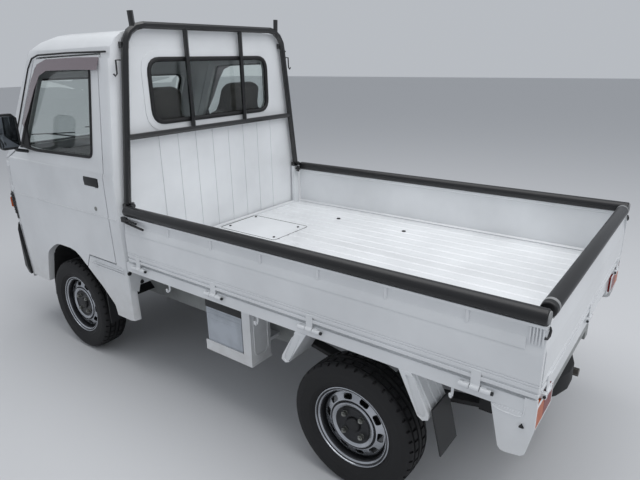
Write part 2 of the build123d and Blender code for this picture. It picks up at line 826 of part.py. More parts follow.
COLUMN_LOW = (-330, CAB_FRONT + 170, 850)
COLUMN_HIGH = (-330, CAB_FRONT + 370, 1085)
STEER_R = 178
SHAFT_R = 10
SHROUD_SHARE = 0.84


def on_column(share):
    """A point along the steering column."""
    return tuple(a + (b - a) * share for a, b in zip(COLUMN_LOW, COLUMN_HIGH))


def dashboard():
    """The dashboard, with the steering column's shroud on the right."""
    f = CAB_FRONT + 40
    points = [
        (f, 700),
        (f + 150, 730),
        (f + 215, 800),
        (f + 250, 930),
        (f + 246, 1000),
        (f + 225, 1040),
        (f + 120, 1078),
        (f, 1082),
    ]
    dash = cabin(side_plate(points, -BODY_HALF, BODY_HALF))
    dash += tube([COLUMN_LOW, on_column(SHROUD_SHARE)], 34, 10)
    hood = side_plate([(f + 90, 1070), (f + 240, 1020), (f + 232, 1075), (f + 170, 1100)], -480, -180)
    return dash + hood - rod(on_column(0.6), on_column(1.0), SHAFT_R + 1)


def steering_wheel():
    """A rim of flat strips, three spokes, a hub and the shaft behind it."""
    start, end = Vector(*COLUMN_LOW), Vector(*COLUMN_HIGH)
    plane = Plane(origin=end, z_dir=end - start, x_dir=(1, 0, 0))
    grip = 12
    profile = [
        (-grip * math.cos(a), STEER_R + grip * math.sin(a)) for a in [math.pi / 3 * k for k in range(6)]
    ]
    wheel = ring(profile, plane, 20) + barrel([(-36, 44), (4, 48)], plane, 10)
    for angle in (90, 210, 330):
        spoke = Rot(0, 0, angle) * Pos(STEER_R / 2, 0, -8) * Box(STEER_R, 26, 12)
        wheel += plane * spoke
    return wheel + rod(on_column(0.62), COLUMN_HIGH, SHAFT_R)


BUMPER_LOW = 352
BUMPER_TOP = 668
PLATE_HOLE_R = 3.2
PLATE_HOLE_X = 105
PLATE_Z = 510
PLATE_HALF = (168, 85)
PLATE_SEAT_Y = CAB_FRONT - BUMPER_PROUD + 5
PLATE_WALL = 12
NUT_HALF = 14


def front_trim():
    """The black bumper with its plate seat and nut pockets, and the corner vents."""
    # height, half width, foremost line
    levels = (
        (BUMPER_LOW, BODY_HALF - 4, CAB_FRONT + 10),
        (BUMPER_LOW + 46, BODY_HALF + 3, CAB_FRONT - BUMPER_PROUD),
        (BUMPER_TOP - 30, BODY_HALF + 3, CAB_FRONT - BUMPER_PROUD),
        (BUMPER_TOP, BODY_HALF - 1, CAB_FRONT - 1),
    )
    band = stack([cab_section(z, half, front) for z, half, front in levels]) - cab_form()
    rear = DOOR_FRONT - DOOR_GAP
    ends = [
        (CAB_FRONT - 40, BUMPER_LOW - 20),
        (rear, BUMPER_LOW - 20),
        (rear, BUMPER_LOW + 30),
        (rear - 68, BUMPER_TOP + 10),
        (CAB_FRONT - 40, BUMPER_TOP + 10),
    ]
    bumper = band & side_plate(ends, -REACH, REACH)
    half_x, half_z = PLATE_HALF
    bumper -= block(-half_x, half_x, CAB_FRONT - 40, PLATE_SEAT_Y, PLATE_Z - half_z, PLATE_Z + half_z)
    pocket_y, n = PLATE_SEAT_Y + PLATE_WALL, NUT_HALF
    for x in (PLATE_HOLE_X, -PLATE_HOLE_X):
        bumper -= rod((x, CAB_FRONT - 40, PLATE_Z), (x, CAB_FRONT + 60, PLATE_Z), PLATE_HOLE_R)
        bumper -= block(x - n, x + n, pocket_y, CAB_FRONT + 60, PLATE_Z - n, PLATE_Z + n)
    vent_points = [
        (CAB_FRONT + 84, LAMP_LOW),
        (CAB_FRONT + 125, LAMP_LOW),
        (CAB_FRONT + 158, LAMP_LOW + 12),
        (CAB_FRONT + 186, LAMP_LOW + 40),
        (rear, LAMP_HIGH - 30),
        (rear, LAMP_HIGH - 12),
        (rear - 12, LAMP_HIGH),
        (CAB_FRONT + 84, LAMP_HIGH),
    ]
    vent = (cab_form(-2, -2) - cab_form()) & side_plate(vent_points, 300, REACH)
    return joined(list(bumper.solids()) + [vent, flip(vent)])


LAMP_LOW = 692
LAMP_HIGH = 872
TAIL_LAMP_LOW = 573
TAIL_LAMP_HIGH = 645


def lamp_band():
    """A thin band over the cab's skin, to cut the front lamps from."""
    return cab_form(-4, -6) - cab_form()


def front_lamps():
    """The two headlamps, in the flat part of the front."""
    x0, x1 = BODY_HALF - 362, BODY_HALF - 156
    head = lamp_band() & block(x0, x1, CAB_FRONT - 100, CAB_FRONT + 120, LAMP_LOW + 8, LAMP_HIGH - 8)
    return joined([head, flip(head)])


def amber_lamps():
    """Turn lamps: round the front corners, and in the outer part of the rear clusters."""
    x0, x1 = BODY_HALF - 147, REACH
    front = lamp_band() & block(x0, x1, CAB_FRONT - 100, CAB_FRONT + 78, LAMP_LOW + 12, LAMP_HIGH - 24)
    x0, x1 = BODY_HALF - 91, BODY_HALF - 16
    rear = block(x0, x1, BED_REAR - 12, BED_REAR, TAIL_LAMP_LOW, TAIL_LAMP_HIGH)
    return joined([front, flip(front), rear, flip(rear)])


def tail_lamps():
    """The red inner part of the rear clusters."""
    x0, x1 = BODY_HALF - 187, BODY_HALF - 92
    lamp = block(x0, x1, BED_REAR - 12, BED_REAR, TAIL_LAMP_LOW, TAIL_LAMP_HIGH)
    return joined([lamp, flip(lamp)])


FRONT_RAIL_T = 23
RIB_STEP = 77
RIB_COUNT = 16
RIB_HALF = 7
RIB_DEPTH = 3


def bed_floor():
    """The floor sheet, grooved along its length, with a flush hatch at its front."""
    half = BODY_HALF - GATE_T - 8
    low, top = BED_FLOOR_Z - BED_FLOOR_T, BED_FLOOR_Z
    points = [(half, low), (-half, low), (-half, top)]
    for k in range(RIB_COUNT):
        x = RIB_STEP * (k - (RIB_COUNT - 1) / 2)
        points += [
            (x - RIB_HALF - 4, top),
            (x - RIB_HALF, top - RIB_DEPTH),
            (x + RIB_HALF, top - RIB_DEPTH),
            (x + RIB_HALF + 4, top),
        ]
    points.append((half, top))
    front = BED_FRONT + FRONT_RAIL_T
    sheet = cross_plate(points, front, BED_REAR - GATE_T - 8)
    return sheet + block(-224, 74, front, BED_FRONT + 444, top - RIB_DEPTH - 1, top)


GUARD_Y = CAB_BACK + 26
STAKE_TOP = 942


def hinge_knuckles(places, near, far):
    """Fixed hinge halves beside each pin: along a line, between two depths."""
    found = []
    for place in places:
        for s in LEFT_RIGHT:
            inner, outer = place + s * (HINGE_HALF + 2), place + s * (HINGE_HALF + 20)
            found.append((min(inner, outer), max(inner, outer), near, far))
    return found


def bed_frame():
    """Side sills, bearers on the chassis rails, the front rail and the guard's stakes."""
    under = BED_FLOOR_Z - BED_FLOOR_T
    rear = BED_REAR - GATE_T - 8
    sill_x = BODY_HALF - SILL_IN
    sill = block(sill_x - SILL_T, sill_x, BED_FRONT, rear, SILL_BOTTOM, under)
    for y0, y1, near, far in hinge_knuckles(SIDE_HINGES, sill_x - 1, BODY_HALF + 7):
        sill += block(near, far, y0, y1, HINGE_Z - 9, HINGE_Z + 9)
    frame = sill + flip(sill)
    # place along the truck, height of the rail's underside there
    for y, z in (
        (BED_FRONT, 0),
        (BED_FRONT + 328, RAIL_LOW_Z),
        (BED_FRONT + 688, RAIL_LOW_Z),
        (REAR_AXLE - 340, RAIL_LOW_Z + RAIL_RISE),
        (REAR_AXLE + 260, RAIL_LOW_Z + RAIL_RISE),
        (rear - 50, RAIL_LOW_Z + RAIL_RISE),
    ):
        frame += block(SILL_T - sill_x, sill_x - SILL_T, y, y + 50, under - 45, under)
        if z:
            for s in LEFT_RIGHT:
                frame += block(s * RAIL_IN, s * RAIL_OUT, y, y + 50, z + RAIL_H, under - 40)
    rail_half, rail_back = BODY_HALF - GATE_T - 2, BED_FRONT + FRONT_RAIL_T - 1
    frame += block(-rail_half, rail_half, BED_FRONT, rail_back, under - 45, BED_FLOOR_Z + 8)
    for s in LEFT_RIGHT:
        frame += block(s * (rail_half - 44), s * rail_half, BED_FRONT, rail_back, BED_FLOOR_Z, STAKE_TOP)
    return frame


# A gate's pressed section from its outer foot up and round: depth inwards, height
GATE_SECTION = (
    (0, 0),
    (0, 12),
    (5, 13),
    (5, 20),
    (0, 21),
    (0, 33),
    (2, 34),
    (2, 36),
    (0, 37),
    (0, 42),
    (2, 43),
    (2, 45),
    (0, 46),
    (0, 133),
    (2, 143),
    (9, 192),
    (9, 219),
    (0, 222),
    (0, GATE_TOP - GATE_BOTTOM),
    (GATE_T, GATE_TOP - GATE_BOTTOM),
    (GATE_T, GATE_TOP - GATE_BOTTOM - 11),
    (GATE_T - 8, GATE_TOP - GATE_BOTTOM - 19),
    (GATE_T - 8, 20),
    (GATE_T, 12),
    (GATE_T, 0),
)


def hinge_strap(face_at):
    """A hinge strap's section with its rolled eye, outwards from a gate's face."""
    r, top = HINGE_PIN_R, GATE_BOTTOM + 32
    points = [(2 * r, HINGE_Z), (2 * r, HINGE_Z + 6), (3, HINGE_Z + 12), (3, top), (-1, top)]
    points += [(-1, GATE_BOTTOM), (0, GATE_BOTTOM), (0, HINGE_Z)]
    strap = Polyline(*[(face_at + u, z) for u, z in points])
    eye = ThreePointArc((face_at, HINGE_Z), (face_at + r, HINGE_Z - r), (face_at + 2 * r, HINGE_Z))
    return make_face([eye] + list(strap.edges()))


def side_gate():
    """The left side gate with its hinge straps."""
    points = [(BODY_HALF - depth, GATE_BOTTOM + height) for depth, height in GATE_SECTION]
    gate = cross_plate(points, GATE_FRONT, BED_REAR)
    for y in SIDE_HINGES:
        gate += plate_y(hinge_strap(BODY_HALF), y - HINGE_HALF, y + HINGE_HALF)
    return gate


def side_pad():
    """The foam bar along a side gate's top."""
    x, z = BODY_HALF - PAD_IN, GATE_TOP + PAD_R - 4
    bar = tube([(x, GATE_FRONT + 10, z), (x, BED_REAR, z)], PAD_R, 12)
    return bar - block(x - 60, x + 60, GATE_FRONT - 50, BED_REAR + 50, GATE_TOP - 60, GATE_TOP)


def tailgate():
    """The tailgate between the side gates, with its hinge straps."""
    half = BODY_HALF - GATE_T - GATE_GAP
    points = [(BED_REAR - depth, GATE_BOTTOM + height) for depth, height in GATE_SECTION]
    gate = side_plate(points, -half, half)
    for x in TAIL_HINGES:
        gate += plate_x(hinge_strap(BED_REAR), x - HINGE_HALF, x + HINGE_HALF)
    return gate


def tail_pad():
    """The foam bar along the tailgate's top."""
    half = BODY_HALF - GATE_T - PAD_R - 12
    y, z = BED_REAR - PAD_IN, GATE_TOP + PAD_R - 4
    bar = tube([(-half, y, z), (half, y, z)], PAD_R, 12)
    return bar - block(-REACH, REACH, y - 60, y + 60, GATE_TOP - 60, GATE_TOP)


def corner_posts():
    """Rear corner plates, the lamps' backing and the sill under the tailgate."""
    rear = BED_REAR
    front = rear - 36
    # the plate's outline from its front top, round its rounded tip and up the rear
    points = [
        (rear - 131, SILL_BOTTOM),
        (rear - 99, 480),
        (rear - 90, 469),
        (rear - 74, 467),
        (rear - 30, 474),
        (rear - 18, 484),
        (rear - 12, 510),
        (rear, 572),
        (rear, 678),
        (front, 678),
        (front, SILL_BOTTOM),
    ]
    plate = side_plate(points, BODY_HALF - 14, BODY_HALF - 2)
    inner = BODY_HALF - 202
    backing = block(inner, BODY_HALF - 2, front, rear - 12, 560, 678)
    post = plate + backing
    sill = block(-inner - 10, inner + 10, front, rear - 12, 600, 678)
    for x0, x1, near, far in hinge_knuckles(TAIL_HINGES, rear - 13, rear + 7):
        sill += block(x0, x1, near, far, HINGE_Z - 9, HINGE_Z + 9)
    return post + flip(post) + sill


def battery():
    """The battery's case, and the white tray and bracket that carry it."""
    y0, y1 = BED_FRONT + 517, BED_FRONT + 742
    x0, x1 = BODY_HALF - 177, BODY_HALF - 44
    low, lip_in = 333, x1 - 6
    case = block(x0 + 10, lip_in - 2, y0, y1, low + 12, 590)
    tray = block(x0, x1, y0 - 8, y1 + 60, low, low + 12)
    lip = block(lip_in, x1, y0 - 8, y1 + 60, low + 12, low + 52)
    strap = block(lip_in, x1, y1 + 12, y1 + 60, low + 52, 600)
    carrier = block(RAIL_OUT, x0, y0 + 30, y1 - 35, low, low + 17)
    return case, tray + lip + strap + carrier


# Mudguard stays by the rear wheels: outlines from the axle, as (y, z)
STAY_IN = BODY_HALF - 144
FRONT_STAY = ((-240, 622), (-186, 622), (-266, 492), (-276, 472), (-296, 464), (-316, 474), (-312, 494))
REAR_STAY = ((210, 622), (258, 622), (330, 486), (328, 464), (308, 454), (288, 466))


def mudguards():
    """Channelled stays that slant down before and behind the rear wheels."""
    found = []
    for stay in (FRONT_STAY, REAR_STAY):
        points = [(REAR_AXLE + y, z) for y, z in stay]
        centre_y = sum(y for y, z in points) / len(points)
        centre_z = sum(z for y, z in points) / len(points)
        inner = [(centre_y + (y - centre_y) * 0.66, centre_z + (z - centre_z) * 0.86) for y, z in points]
        piece = side_plate(points, STAY_IN, BODY_HALF - 4) - side_plate(inner, BODY_HALF - 12, BODY_HALF)
        found += [piece, flip(piece)]
    return joined(found)


def mud_flaps():
    """Rubber flaps behind the front wheels and behind the rear ones."""
    rear_points = [
        (REAR_AXLE + 334, 505),
        (REAR_AXLE + 340, 505),
        (REAR_AXLE + 380, 336),
        (REAR_AXLE + 374, 336),
    ]
    rear = side_plate(rear_points, STAY_IN, BODY_HALF - 10) - mudguards()
    y = FRONT_AXLE + 331
    front = block(STAY_IN - 8, side_x(CAB_BOTTOM), y, y + 6, 255, 452) - cab_pieces()["cab_side_left"]
    front = max(front.solids(), key=lambda s: s.volume)
    rear = max(rear.solids(), key=lambda s: s.volume)
    return joined([front, flip(front), rear, flip(rear)])


POST_LOW_X = BODY_HALF - 48
POST_LEAN = 0.113
POST_LOW_Z = STAKE_TOP + 2
GUARD_MID_Z = 1276
GUARD_TOP_Z = ROOF_Z + 8
GUARD_R = 16


def post_x(z):
    """How far out the guard's posts are at a height."""
    return POST_LOW_X - POST_LEAN * (z - 956)


def guard_frame():
    """Leaning posts, a rounded top bar with two horns, window bars and clamps."""
    y, r, bend = GUARD_Y, GUARD_R, 110
    top_x = post_x(GUARD_TOP_Z)
    turns = [math.pi / 2 * k / 4 for k in range(5)]
    left = [(post_x(POST_LOW_Z), y, POST_LOW_Z)]
    left += [
        (top_x - bend * (1 - math.cos(a)), y, GUARD_TOP_Z - bend * (1 - math.sin(a))) for a in turns
    ]
    right = [(-x, y, z) for x, y, z in reversed(left)]
    frame = tube(left + right, r)
    mid_x = post_x(GUARD_MID_Z)
    frame += tube([(-mid_x, y, GUARD_MID_Z), (mid_x, y, GUARD_MID_Z)], 13, 6)
    for x in (-193, 193):
        frame += tube([(x, y, GUARD_MID_Z), (x, y, GUARD_TOP_Z)], 11, 6)
    for s in LEFT_RIGHT:
        horn = s * (top_x - 55)
        frame += tube([(horn, y, GUARD_TOP_Z - 10), (horn + s * 4, y, GUARD_TOP_Z + 60)], 12, 6)
        low_z = GUARD_TOP_Z - 102
        x = s * post_x(low_z + 14)
        frame += block(x - s * 34, x + s * 6, CAB_BACK + 5, y, low_z, low_z + 28)
        low = s * post_x(POST_LOW_Z)
        frame += block(low - s * 30, low + s * 20, BED_FRONT + 2, y + 14, POST_LOW_Z, POST_LOW_Z + 22)
    return frame


def mirror_and_handle():
    """The left door's mirror on its stalk, and its pull handle."""
    y = CAB_FRONT + 540
    # inset of the outline, place along the truck
    levels = ((10, y - 26), (0, y - 8), (0, y + 22))
    x0, x1, z0, z1, cut = BODY_HALF + 60, BODY_HALF + 174, 1186, 1370, 24
    sections = []
    for inset, at in levels:
        a, b, c, d = x0 + inset, x1 - inset, z0 + inset, z1 - inset
        corners = [
            (a + cut, c), (b - cut, c), (b, c + cut), (b, d - cut),
            (b - cut, d), (a + cut, d), (a, d - cut), (a, c + cut),
        ]
        sections.append([(x, at, z) for x, z in corners])
    elbow = (x0, CAB_FRONT + 500, z0 - 14)
    stalk = tube([(x0 - 92, CAB_FRONT + 448, z0 - 40), elbow, (x0 + 34, y, z0 + 14)], 9) - cab_form()
    handle = side_plate(handle_outline(3), BODY_HALF - 12, BODY_HALF - 2)
    return joined([stack(sections) + stalk, handle])


def everything():
    """Every node's shape, by name."""
    nodes = dict(cab_pieces())
    for tag, s in (("left", 1), ("right", -1)):
        for end, y in (("front", FRONT_AXLE), ("rear", REAR_AXLE)):
            place = Pos(s * WHEEL_X, y, TYRE_R)
            nodes[f"tyre_{end}_{tag}"] = place * on_side(tyre(), s)
            nodes[f"rim_{end}_{tag}"] = place * on_side(rim(), s)
        nodes[f"knuckle_{tag}"] = on_side(knuckle(), s)
        nodes[f"gate_{tag}"] = on_side(side_gate(), s)
        nodes[f"pad_{tag}"] = on_side(side_pad(), s)
        nodes[f"door_fittings_{tag}"] = on_side(mirror_and_handle(), s)
    case, tray = battery()
    nodes.update(
        {
            "front_suspension": front_suspension(),
            "chassis_frame": chassis_frame(),
            "engine_block": engine(),
            "rear_axle": rear_axle(),
            "leaf_springs": leaf_springs(),
            "fuel_tank": fuel_tank(),
            "exhaust": exhaust(),
            "spare_wheel": spare_wheel(),
            "cab_floor": cab_floor(),
            "seat_bases": joined([seat_base(), flip(seat_base())]),
            "seat_backs": joined([seat_back(), flip(seat_back())]),
            "dashboard": dashboard(),
            "steering_wheel": steering_wheel(),
            "front_trim": front_trim(),
            "front_lamps": front_lamps(),
            "amber_lamps": amber_lamps(),
            "tail_lamps": tail_lamps(),
            "bed_floor": bed_floor(),
            "bed_frame": bed_frame(),
            "tailgate": tailgate(),
            "pad_tail": tail_pad(),
            "corner_posts": corner_posts(),
            "battery_case": case,
            "battery_tray": tray,
            "mudguards": mudguards(),
            "mud_flaps": mud_flaps(),
            "guard_frame": guard_frame(),
        }
    )
    return nodes


if __name__ == "__main__":
    os.makedirs("parts", exist_ok=True)
    for name, shape in everything().items():
        export_step(shape, f"parts/{name}.step")
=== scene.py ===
# %% [markdown]
# A small cab-over pickup truck with a drop-side load bed, dressed for a studio picture.
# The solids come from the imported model. This file gives them their finishes and soft
# edges, and adds what is soft, thin or small: foam bars, seats, tyre treads, wheel
# vents, bolts, seals and wipers.

# %% Load the frame
import json
import math
import bmesh
import bpy
from mathutils import Matrix, Vector
from mathutils.bvhtree import BVHTree

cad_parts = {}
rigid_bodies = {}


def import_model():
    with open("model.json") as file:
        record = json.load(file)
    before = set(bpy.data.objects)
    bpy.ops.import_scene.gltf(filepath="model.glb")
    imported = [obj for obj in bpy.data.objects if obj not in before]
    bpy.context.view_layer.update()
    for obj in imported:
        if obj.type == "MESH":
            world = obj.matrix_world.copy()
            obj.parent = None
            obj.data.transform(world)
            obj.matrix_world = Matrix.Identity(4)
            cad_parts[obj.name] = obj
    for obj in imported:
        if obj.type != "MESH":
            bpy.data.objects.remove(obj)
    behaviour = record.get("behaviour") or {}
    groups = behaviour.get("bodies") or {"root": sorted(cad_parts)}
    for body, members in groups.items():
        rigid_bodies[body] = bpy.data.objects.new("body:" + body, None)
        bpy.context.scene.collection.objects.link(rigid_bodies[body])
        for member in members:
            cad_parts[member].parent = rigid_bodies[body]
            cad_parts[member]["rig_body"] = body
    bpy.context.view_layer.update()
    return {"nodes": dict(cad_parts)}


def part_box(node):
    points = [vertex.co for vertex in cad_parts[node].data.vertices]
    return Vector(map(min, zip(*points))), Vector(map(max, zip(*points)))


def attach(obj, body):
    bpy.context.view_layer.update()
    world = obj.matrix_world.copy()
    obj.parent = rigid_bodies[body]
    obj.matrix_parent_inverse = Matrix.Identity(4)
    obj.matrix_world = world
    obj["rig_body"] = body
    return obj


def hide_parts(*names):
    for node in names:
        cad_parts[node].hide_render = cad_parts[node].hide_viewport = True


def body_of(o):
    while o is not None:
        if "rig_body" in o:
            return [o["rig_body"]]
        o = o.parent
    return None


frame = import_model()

NODES = frame["nodes"]
MM = 0.001
SIDES = (("left", 1), ("right", -1))

# %% [markdown]
# The truck's own lines, in millimetres, so that each added piece sits on the solid that
# carries it. X is the truck's left, Y its rear and Z up.

# %% Places on the truck
CAB_FRONT = -1639.5
CAB_BACK = -359.5
BED_FRONT = -347.5
BED_REAR = 1639.5
FRONT_AXLE = -920.5
REAR_AXLE = 979.5
DOOR_REAR = CAB_BACK - 86
BODY_HALF = 692
GATE_TOP = 917
FLOOR_Z = 696
WHEEL_X = 605
TYRE_R = 270
HINGE_Z = 656
SIDE_HINGES = [BED_FRONT + share * (BED_REAR - BED_FRONT) for share in (0.055, 0.321, 0.585, 0.908)]
TAIL_HINGES = (586, 0, -586)


def at(x, y, z):
    """A place in millimetres as a vector in metres."""
    return Vector((x * MM, y * MM, z * MM))

print("wheelbase", REAR_AXLE - FRONT_AXLE, "mm, bed", BED_REAR - BED_FRONT, "mm")

# %% [markdown]
# The cab leans in above its waist, and its front is crowned and turns round into the
# sides. Seals, wipers and lamps lie on those faces, so functions give the places, from
# the same lines and radii that shape the solids.

# %% Faces of the cab
WAIST_LOW = 1096
WAIST_Z = 1110
WAIST_X = 684
SIDE_LEAN = 0.105
CORNER_R = 180
CORNER_TURN = math.radians(5.3)
CROWN_MIDDLE = 0.023
CROWN_END = 0.070
SCREEN_FOOT = CAB_FRONT + 40
SCREEN_RISE = 1.6
HEADER_LOW = 1467
HEADER_R = 850
HEADER_CENTRE = (-725.3, 920.5)


def skin_x(z):
    """The cab side's distance from the middle, at a height."""
    return BODY_HALF if z < WAIST_LOW else WAIST_X - SIDE_LEAN * max(z - WAIST_Z, 0)


def crown(x, bend_x, touch_x=math.inf):
    """How far the front falls back, gently to its bend and more up to where the corner starts."""
    return CROWN_MIDDLE * min(abs(x), bend_x) + CROWN_END * max(min(abs(x), touch_x) - bend_x, 0)


def screen_y(x, z):
    """The windscreen's place along the truck, from its lean, its crown and its round ends."""
    half = skin_x(z)
    touch_x = half - CORNER_R + CORNER_R * math.sin(CORNER_TURN)
    y = SCREEN_FOOT + (z - WAIST_Z) / SCREEN_RISE + crown(x, touch_x / 2, touch_x)
    if abs(x) > touch_x:
        share = (abs(x) - half + CORNER_R) / CORNER_R
        y += CORNER_R * (math.cos(CORNER_TURN) - math.sqrt(1 - share**2))
    if z > HEADER_LOW:
        y = max(y, HEADER_CENTRE[0] - math.sqrt(HEADER_R**2 - (z - HEADER_CENTRE[1]) ** 2))
    return y


print("windscreen from", screen_y(0, 1138), "to", round(screen_y(0, 1530), 1), "mm")

# %% [markdown]
# Colours are written as the sRGB hex values that a paint chart gives, and Blender's
# shaders want linear light. One function turns one into the other.

# %% Colour
def linear(hex_colour):
    """An sRGB hex colour as linear RGBA."""
    parts = [int(hex_colour[i : i + 2], 16) / 255 for i in (1, 3, 5)]
    return tuple(((c + 0.055) / 1.055) ** 2.4 if c > 0.04045 else c / 12.92 for c in parts) + (1.0,)


print("mid grey", [round(c, 3) for c in linear("#808080")])


# %% [markdown]
# Every finish is a small tree of nodes. One helper adds a node with its settings and
# joins its inputs, either to a value or to another node's output.

# %% Node helper
def node(tree, kind, inputs=None, **settings):
    """Add a node; inputs maps a socket to a value or to another node's output."""
    new = tree.nodes.new(kind)
    for name, value in settings.items():
        setattr(new, name, value)
    for name, value in (inputs or {}).items():
        if isinstance(value, bpy.types.NodeSocket):
            tree.links.new(value, new.inputs[name])
        else:
            new.inputs[name].default_value = value
    return new


def finish_material(name, **values):
    """A new material with one Principled shader, its tree, its shader and object coordinates."""
    material = bpy.data.materials.new(name)
    material.use_nodes = True
    tree = material.node_tree
    shader = tree.nodes["Principled BSDF"]
    for socket, value in values.items():
        shader.inputs[socket.replace("_", " ")].default_value = value
    place = node(tree, "ShaderNodeTexCoord").outputs["Object"]
    return material, tree, shader, place


def two_tone(tree, factor, low, high, start=0.35, end=0.65):
    """A ramp between two hex colours."""
    ramp = node(tree, "ShaderNodeValToRGB", {"Fac": factor})
    ramp.color_ramp.elements[0].color = linear(low)
    ramp.color_ramp.elements[0].position = start
    ramp.color_ramp.elements[1].color = linear(high)
    ramp.color_ramp.elements[1].position = end
    return ramp.outputs["Color"]


def roughen(tree, shader, height, strength, distance_mm):
    """A bump from a height."""
    values = {"Height": height, "Strength": strength, "Distance": distance_mm * MM}
    bump = node(tree, "ShaderNodeBump", values)
    tree.links.new(bump.outputs["Normal"], shader.inputs["Normal"])


# %% [markdown]
# The body is pressed steel sheet in baked white enamel: a smooth, slightly cold white
# under a clear gloss. Road dust dulls it in soft patches about 300 mm across. Below the
# sills it turns brownish grey in finer patches, more so towards the ground: partly road
# grime and partly painted shade under the body. So the colour follows a broad noise and
# the height above the ground.

# %% White enamel
DUST_SCALE = 3.3
LOW_PATCH_SCALE = 22.0
# where the grime and painted shade low on the body begin and end, and how much they cover
SILL_Z = 0.62
LOW_GRIME_AND_SHADE_Z = 0.28
LOW_GRIME_AND_SHADE_MOST = 0.55


def white_enamel():
    material, tree, shader, place = finish_material(
        "baked_white_enamel", Roughness=0.3, Coat_Weight=0.55, Coat_Roughness=0.06
    )
    cloud = node(tree, "ShaderNodeTexNoise", {"Vector": place, "Scale": DUST_SCALE, "Detail": 4.0})
    clean = two_tone(tree, cloud.outputs["Fac"], "#DEE0E2", "#E9EBED")
    # the brownish grey grows from the sills down to the ground: road grime and painted shade under the body
    height = node(tree, "ShaderNodeSeparateXYZ", {"Vector": place}).outputs["Z"]
    ends = {"Value": height, "From Min": SILL_Z, "From Max": LOW_GRIME_AND_SHADE_Z, "To Max": LOW_GRIME_AND_SHADE_MOST}
    low = node(tree, "ShaderNodeMapRange", ends).outputs["Result"]
    low_patches = node(tree, "ShaderNodeTexNoise", {"Vector": place, "Scale": LOW_PATCH_SCALE, "Detail": 6.0})
    grime_and_painted_shade = node(tree, "ShaderNodeMath", {0: low, 1: low_patches.outputs["Fac"]}, operation="MULTIPLY")
    # brownish grey: road grime, and painted shade low on the body
    colours = {"Factor": grime_and_painted_shade.outputs["Value"], "A": clean, "B": linear("#A39C90")}
    mixed = node(tree, "ShaderNodeMix", colours, data_type="RGBA")
    tree.links.new(mixed.outputs["Result"], shader.inputs["Base Color"])
    return material


ENAMEL = white_enamel()
print("material", ENAMEL.name)

# %% [markdown]
# Most of the other finishes are one colour with a fine bump: moulded plastic has a grain,
# rubber is dull, painted iron is smooth. One helper makes them from a short table. Where
# the real grain is finer than 1 mm, it is drawn coarser, so that it shows.

# %% Plain finishes
CLOUD_SCALE = 9.0
CLOUD_SHADE = 0.88


def plain(name, colour, roughness, metallic=0.0, grain_mm=2.0, depth_mm=0.05, coat=0.0):
    """One colour with a slight change of tone and a fine bump."""
    material, tree, shader, place = finish_material(
        name, Roughness=roughness, Metallic=metallic, Coat_Weight=coat, Coat_Roughness=0.1
    )
    grain = node(tree, "ShaderNodeTexNoise", {"Vector": place, "Scale": 1 / (grain_mm * MM), "Detail": 3.0})
    cloud = node(tree, "ShaderNodeTexNoise", {"Vector": place, "Scale": CLOUD_SCALE, "Detail": 3.0})
    base = [int(colour[i : i + 2], 16) for i in (1, 3, 5)]
    darker = "#" + "".join(f"{int(c * CLOUD_SHADE):02X}" for c in base)
    tone = two_tone(tree, cloud.outputs["Fac"], darker, colour, 0.3, 0.6)
    tree.links.new(tone, shader.inputs["Base Color"])
    roughen(tree, shader, grain.outputs["Fac"], 0.3, depth_mm)
    return material


# name: colour, roughness, metallic, grain in mm, its depth in mm, coat
PLAIN = {
    "moulded_black_plastic": ("#1C1D1F", 0.5, 0.0, 1.5, 0.05, 0.0),
    "foam_tube_black_vinyl": ("#141416", 0.42, 0.0, 6.0, 0.25, 0.1),
    "foam_tube_end_grey": ("#8E8F90", 0.7, 0.0, 3.0, 0.1, 0.0),
    "worn_tyre_rubber": ("#131315", 0.7, 0.0, 3.0, 0.1, 0.0),
    "silver_wheel_paint": ("#B9BCC2", 0.24, 0.85, 2.0, 0.02, 0.4),
    # the rims' grooves, recessed centre and back, and the dish under the nuts: a dark grey of painted shade
    "wheel_painted_shade": ("#2C2D30", 0.4, 0.5, 2.0, 0.02, 0.2),
    "black_painted_tube": ("#131315", 0.3, 0.0, 4.0, 0.03, 0.4),
    "underbody_black": ("#232324", 0.65, 0.0, 3.0, 0.2, 0.0),
    "underbody_grey": ("#9DA09F", 0.55, 0.0, 4.0, 0.1, 0.0),
    "cast_iron_rough": ("#38383A", 0.7, 0.5, 3.0, 0.3, 0.0),
    "aluminised_pipe": ("#6E6A66", 0.45, 0.9, 2.0, 0.1, 0.0),
    "zinc_plated_steel": ("#9B9C98", 0.4, 0.9, 1.0, 0.03, 0.0),
    "black_door_rubber": ("#18181A", 0.6, 0.0, 2.0, 0.05, 0.0),
    "grained_grey_abs": ("#5D5B5A", 0.62, 0.0, 1.5, 0.1, 0.0),
    "battery_white_plastic": ("#B9BFC7", 0.4, 0.0, 2.0, 0.05, 0.0),
    "mirror_glass_silver": ("#6C7176", 0.05, 1.0, 8.0, 0.0, 0.0),
}
PAINTS = {name: plain(name, *values) for name, values in PLAIN.items()}
RUBBER = PAINTS["black_door_rubber"]
BLACK = PAINTS["moulded_black_plastic"]
print("plain finishes", len(PAINTS))

# %% [markdown]
# Lamp lenses are moulded acrylic with upright flutes about 8 mm apart. The colour is in
# the plastic, and a strong reflection would wash it out, so the shader's is weak. A wave
# gives the flutes.

# %% Lenses
def lens(name, colour, pitch_mm, metallic=0.0):
    """A fluted lens of one colour."""
    material, tree, shader, place = finish_material(
        name, Roughness=0.3, Metallic=metallic, Specular_IOR_Level=0.2, Base_Color=linear(colour)
    )
    # A wave texture's bands repeat every 2 pi / 20 of its scaled distance
    wave = node(tree, "ShaderNodeTexWave", {"Vector": place, "Scale": math.pi / 10 / (pitch_mm * MM)})
    roughen(tree, shader, wave.outputs["Fac"], 0.25, 0.6)
    return material


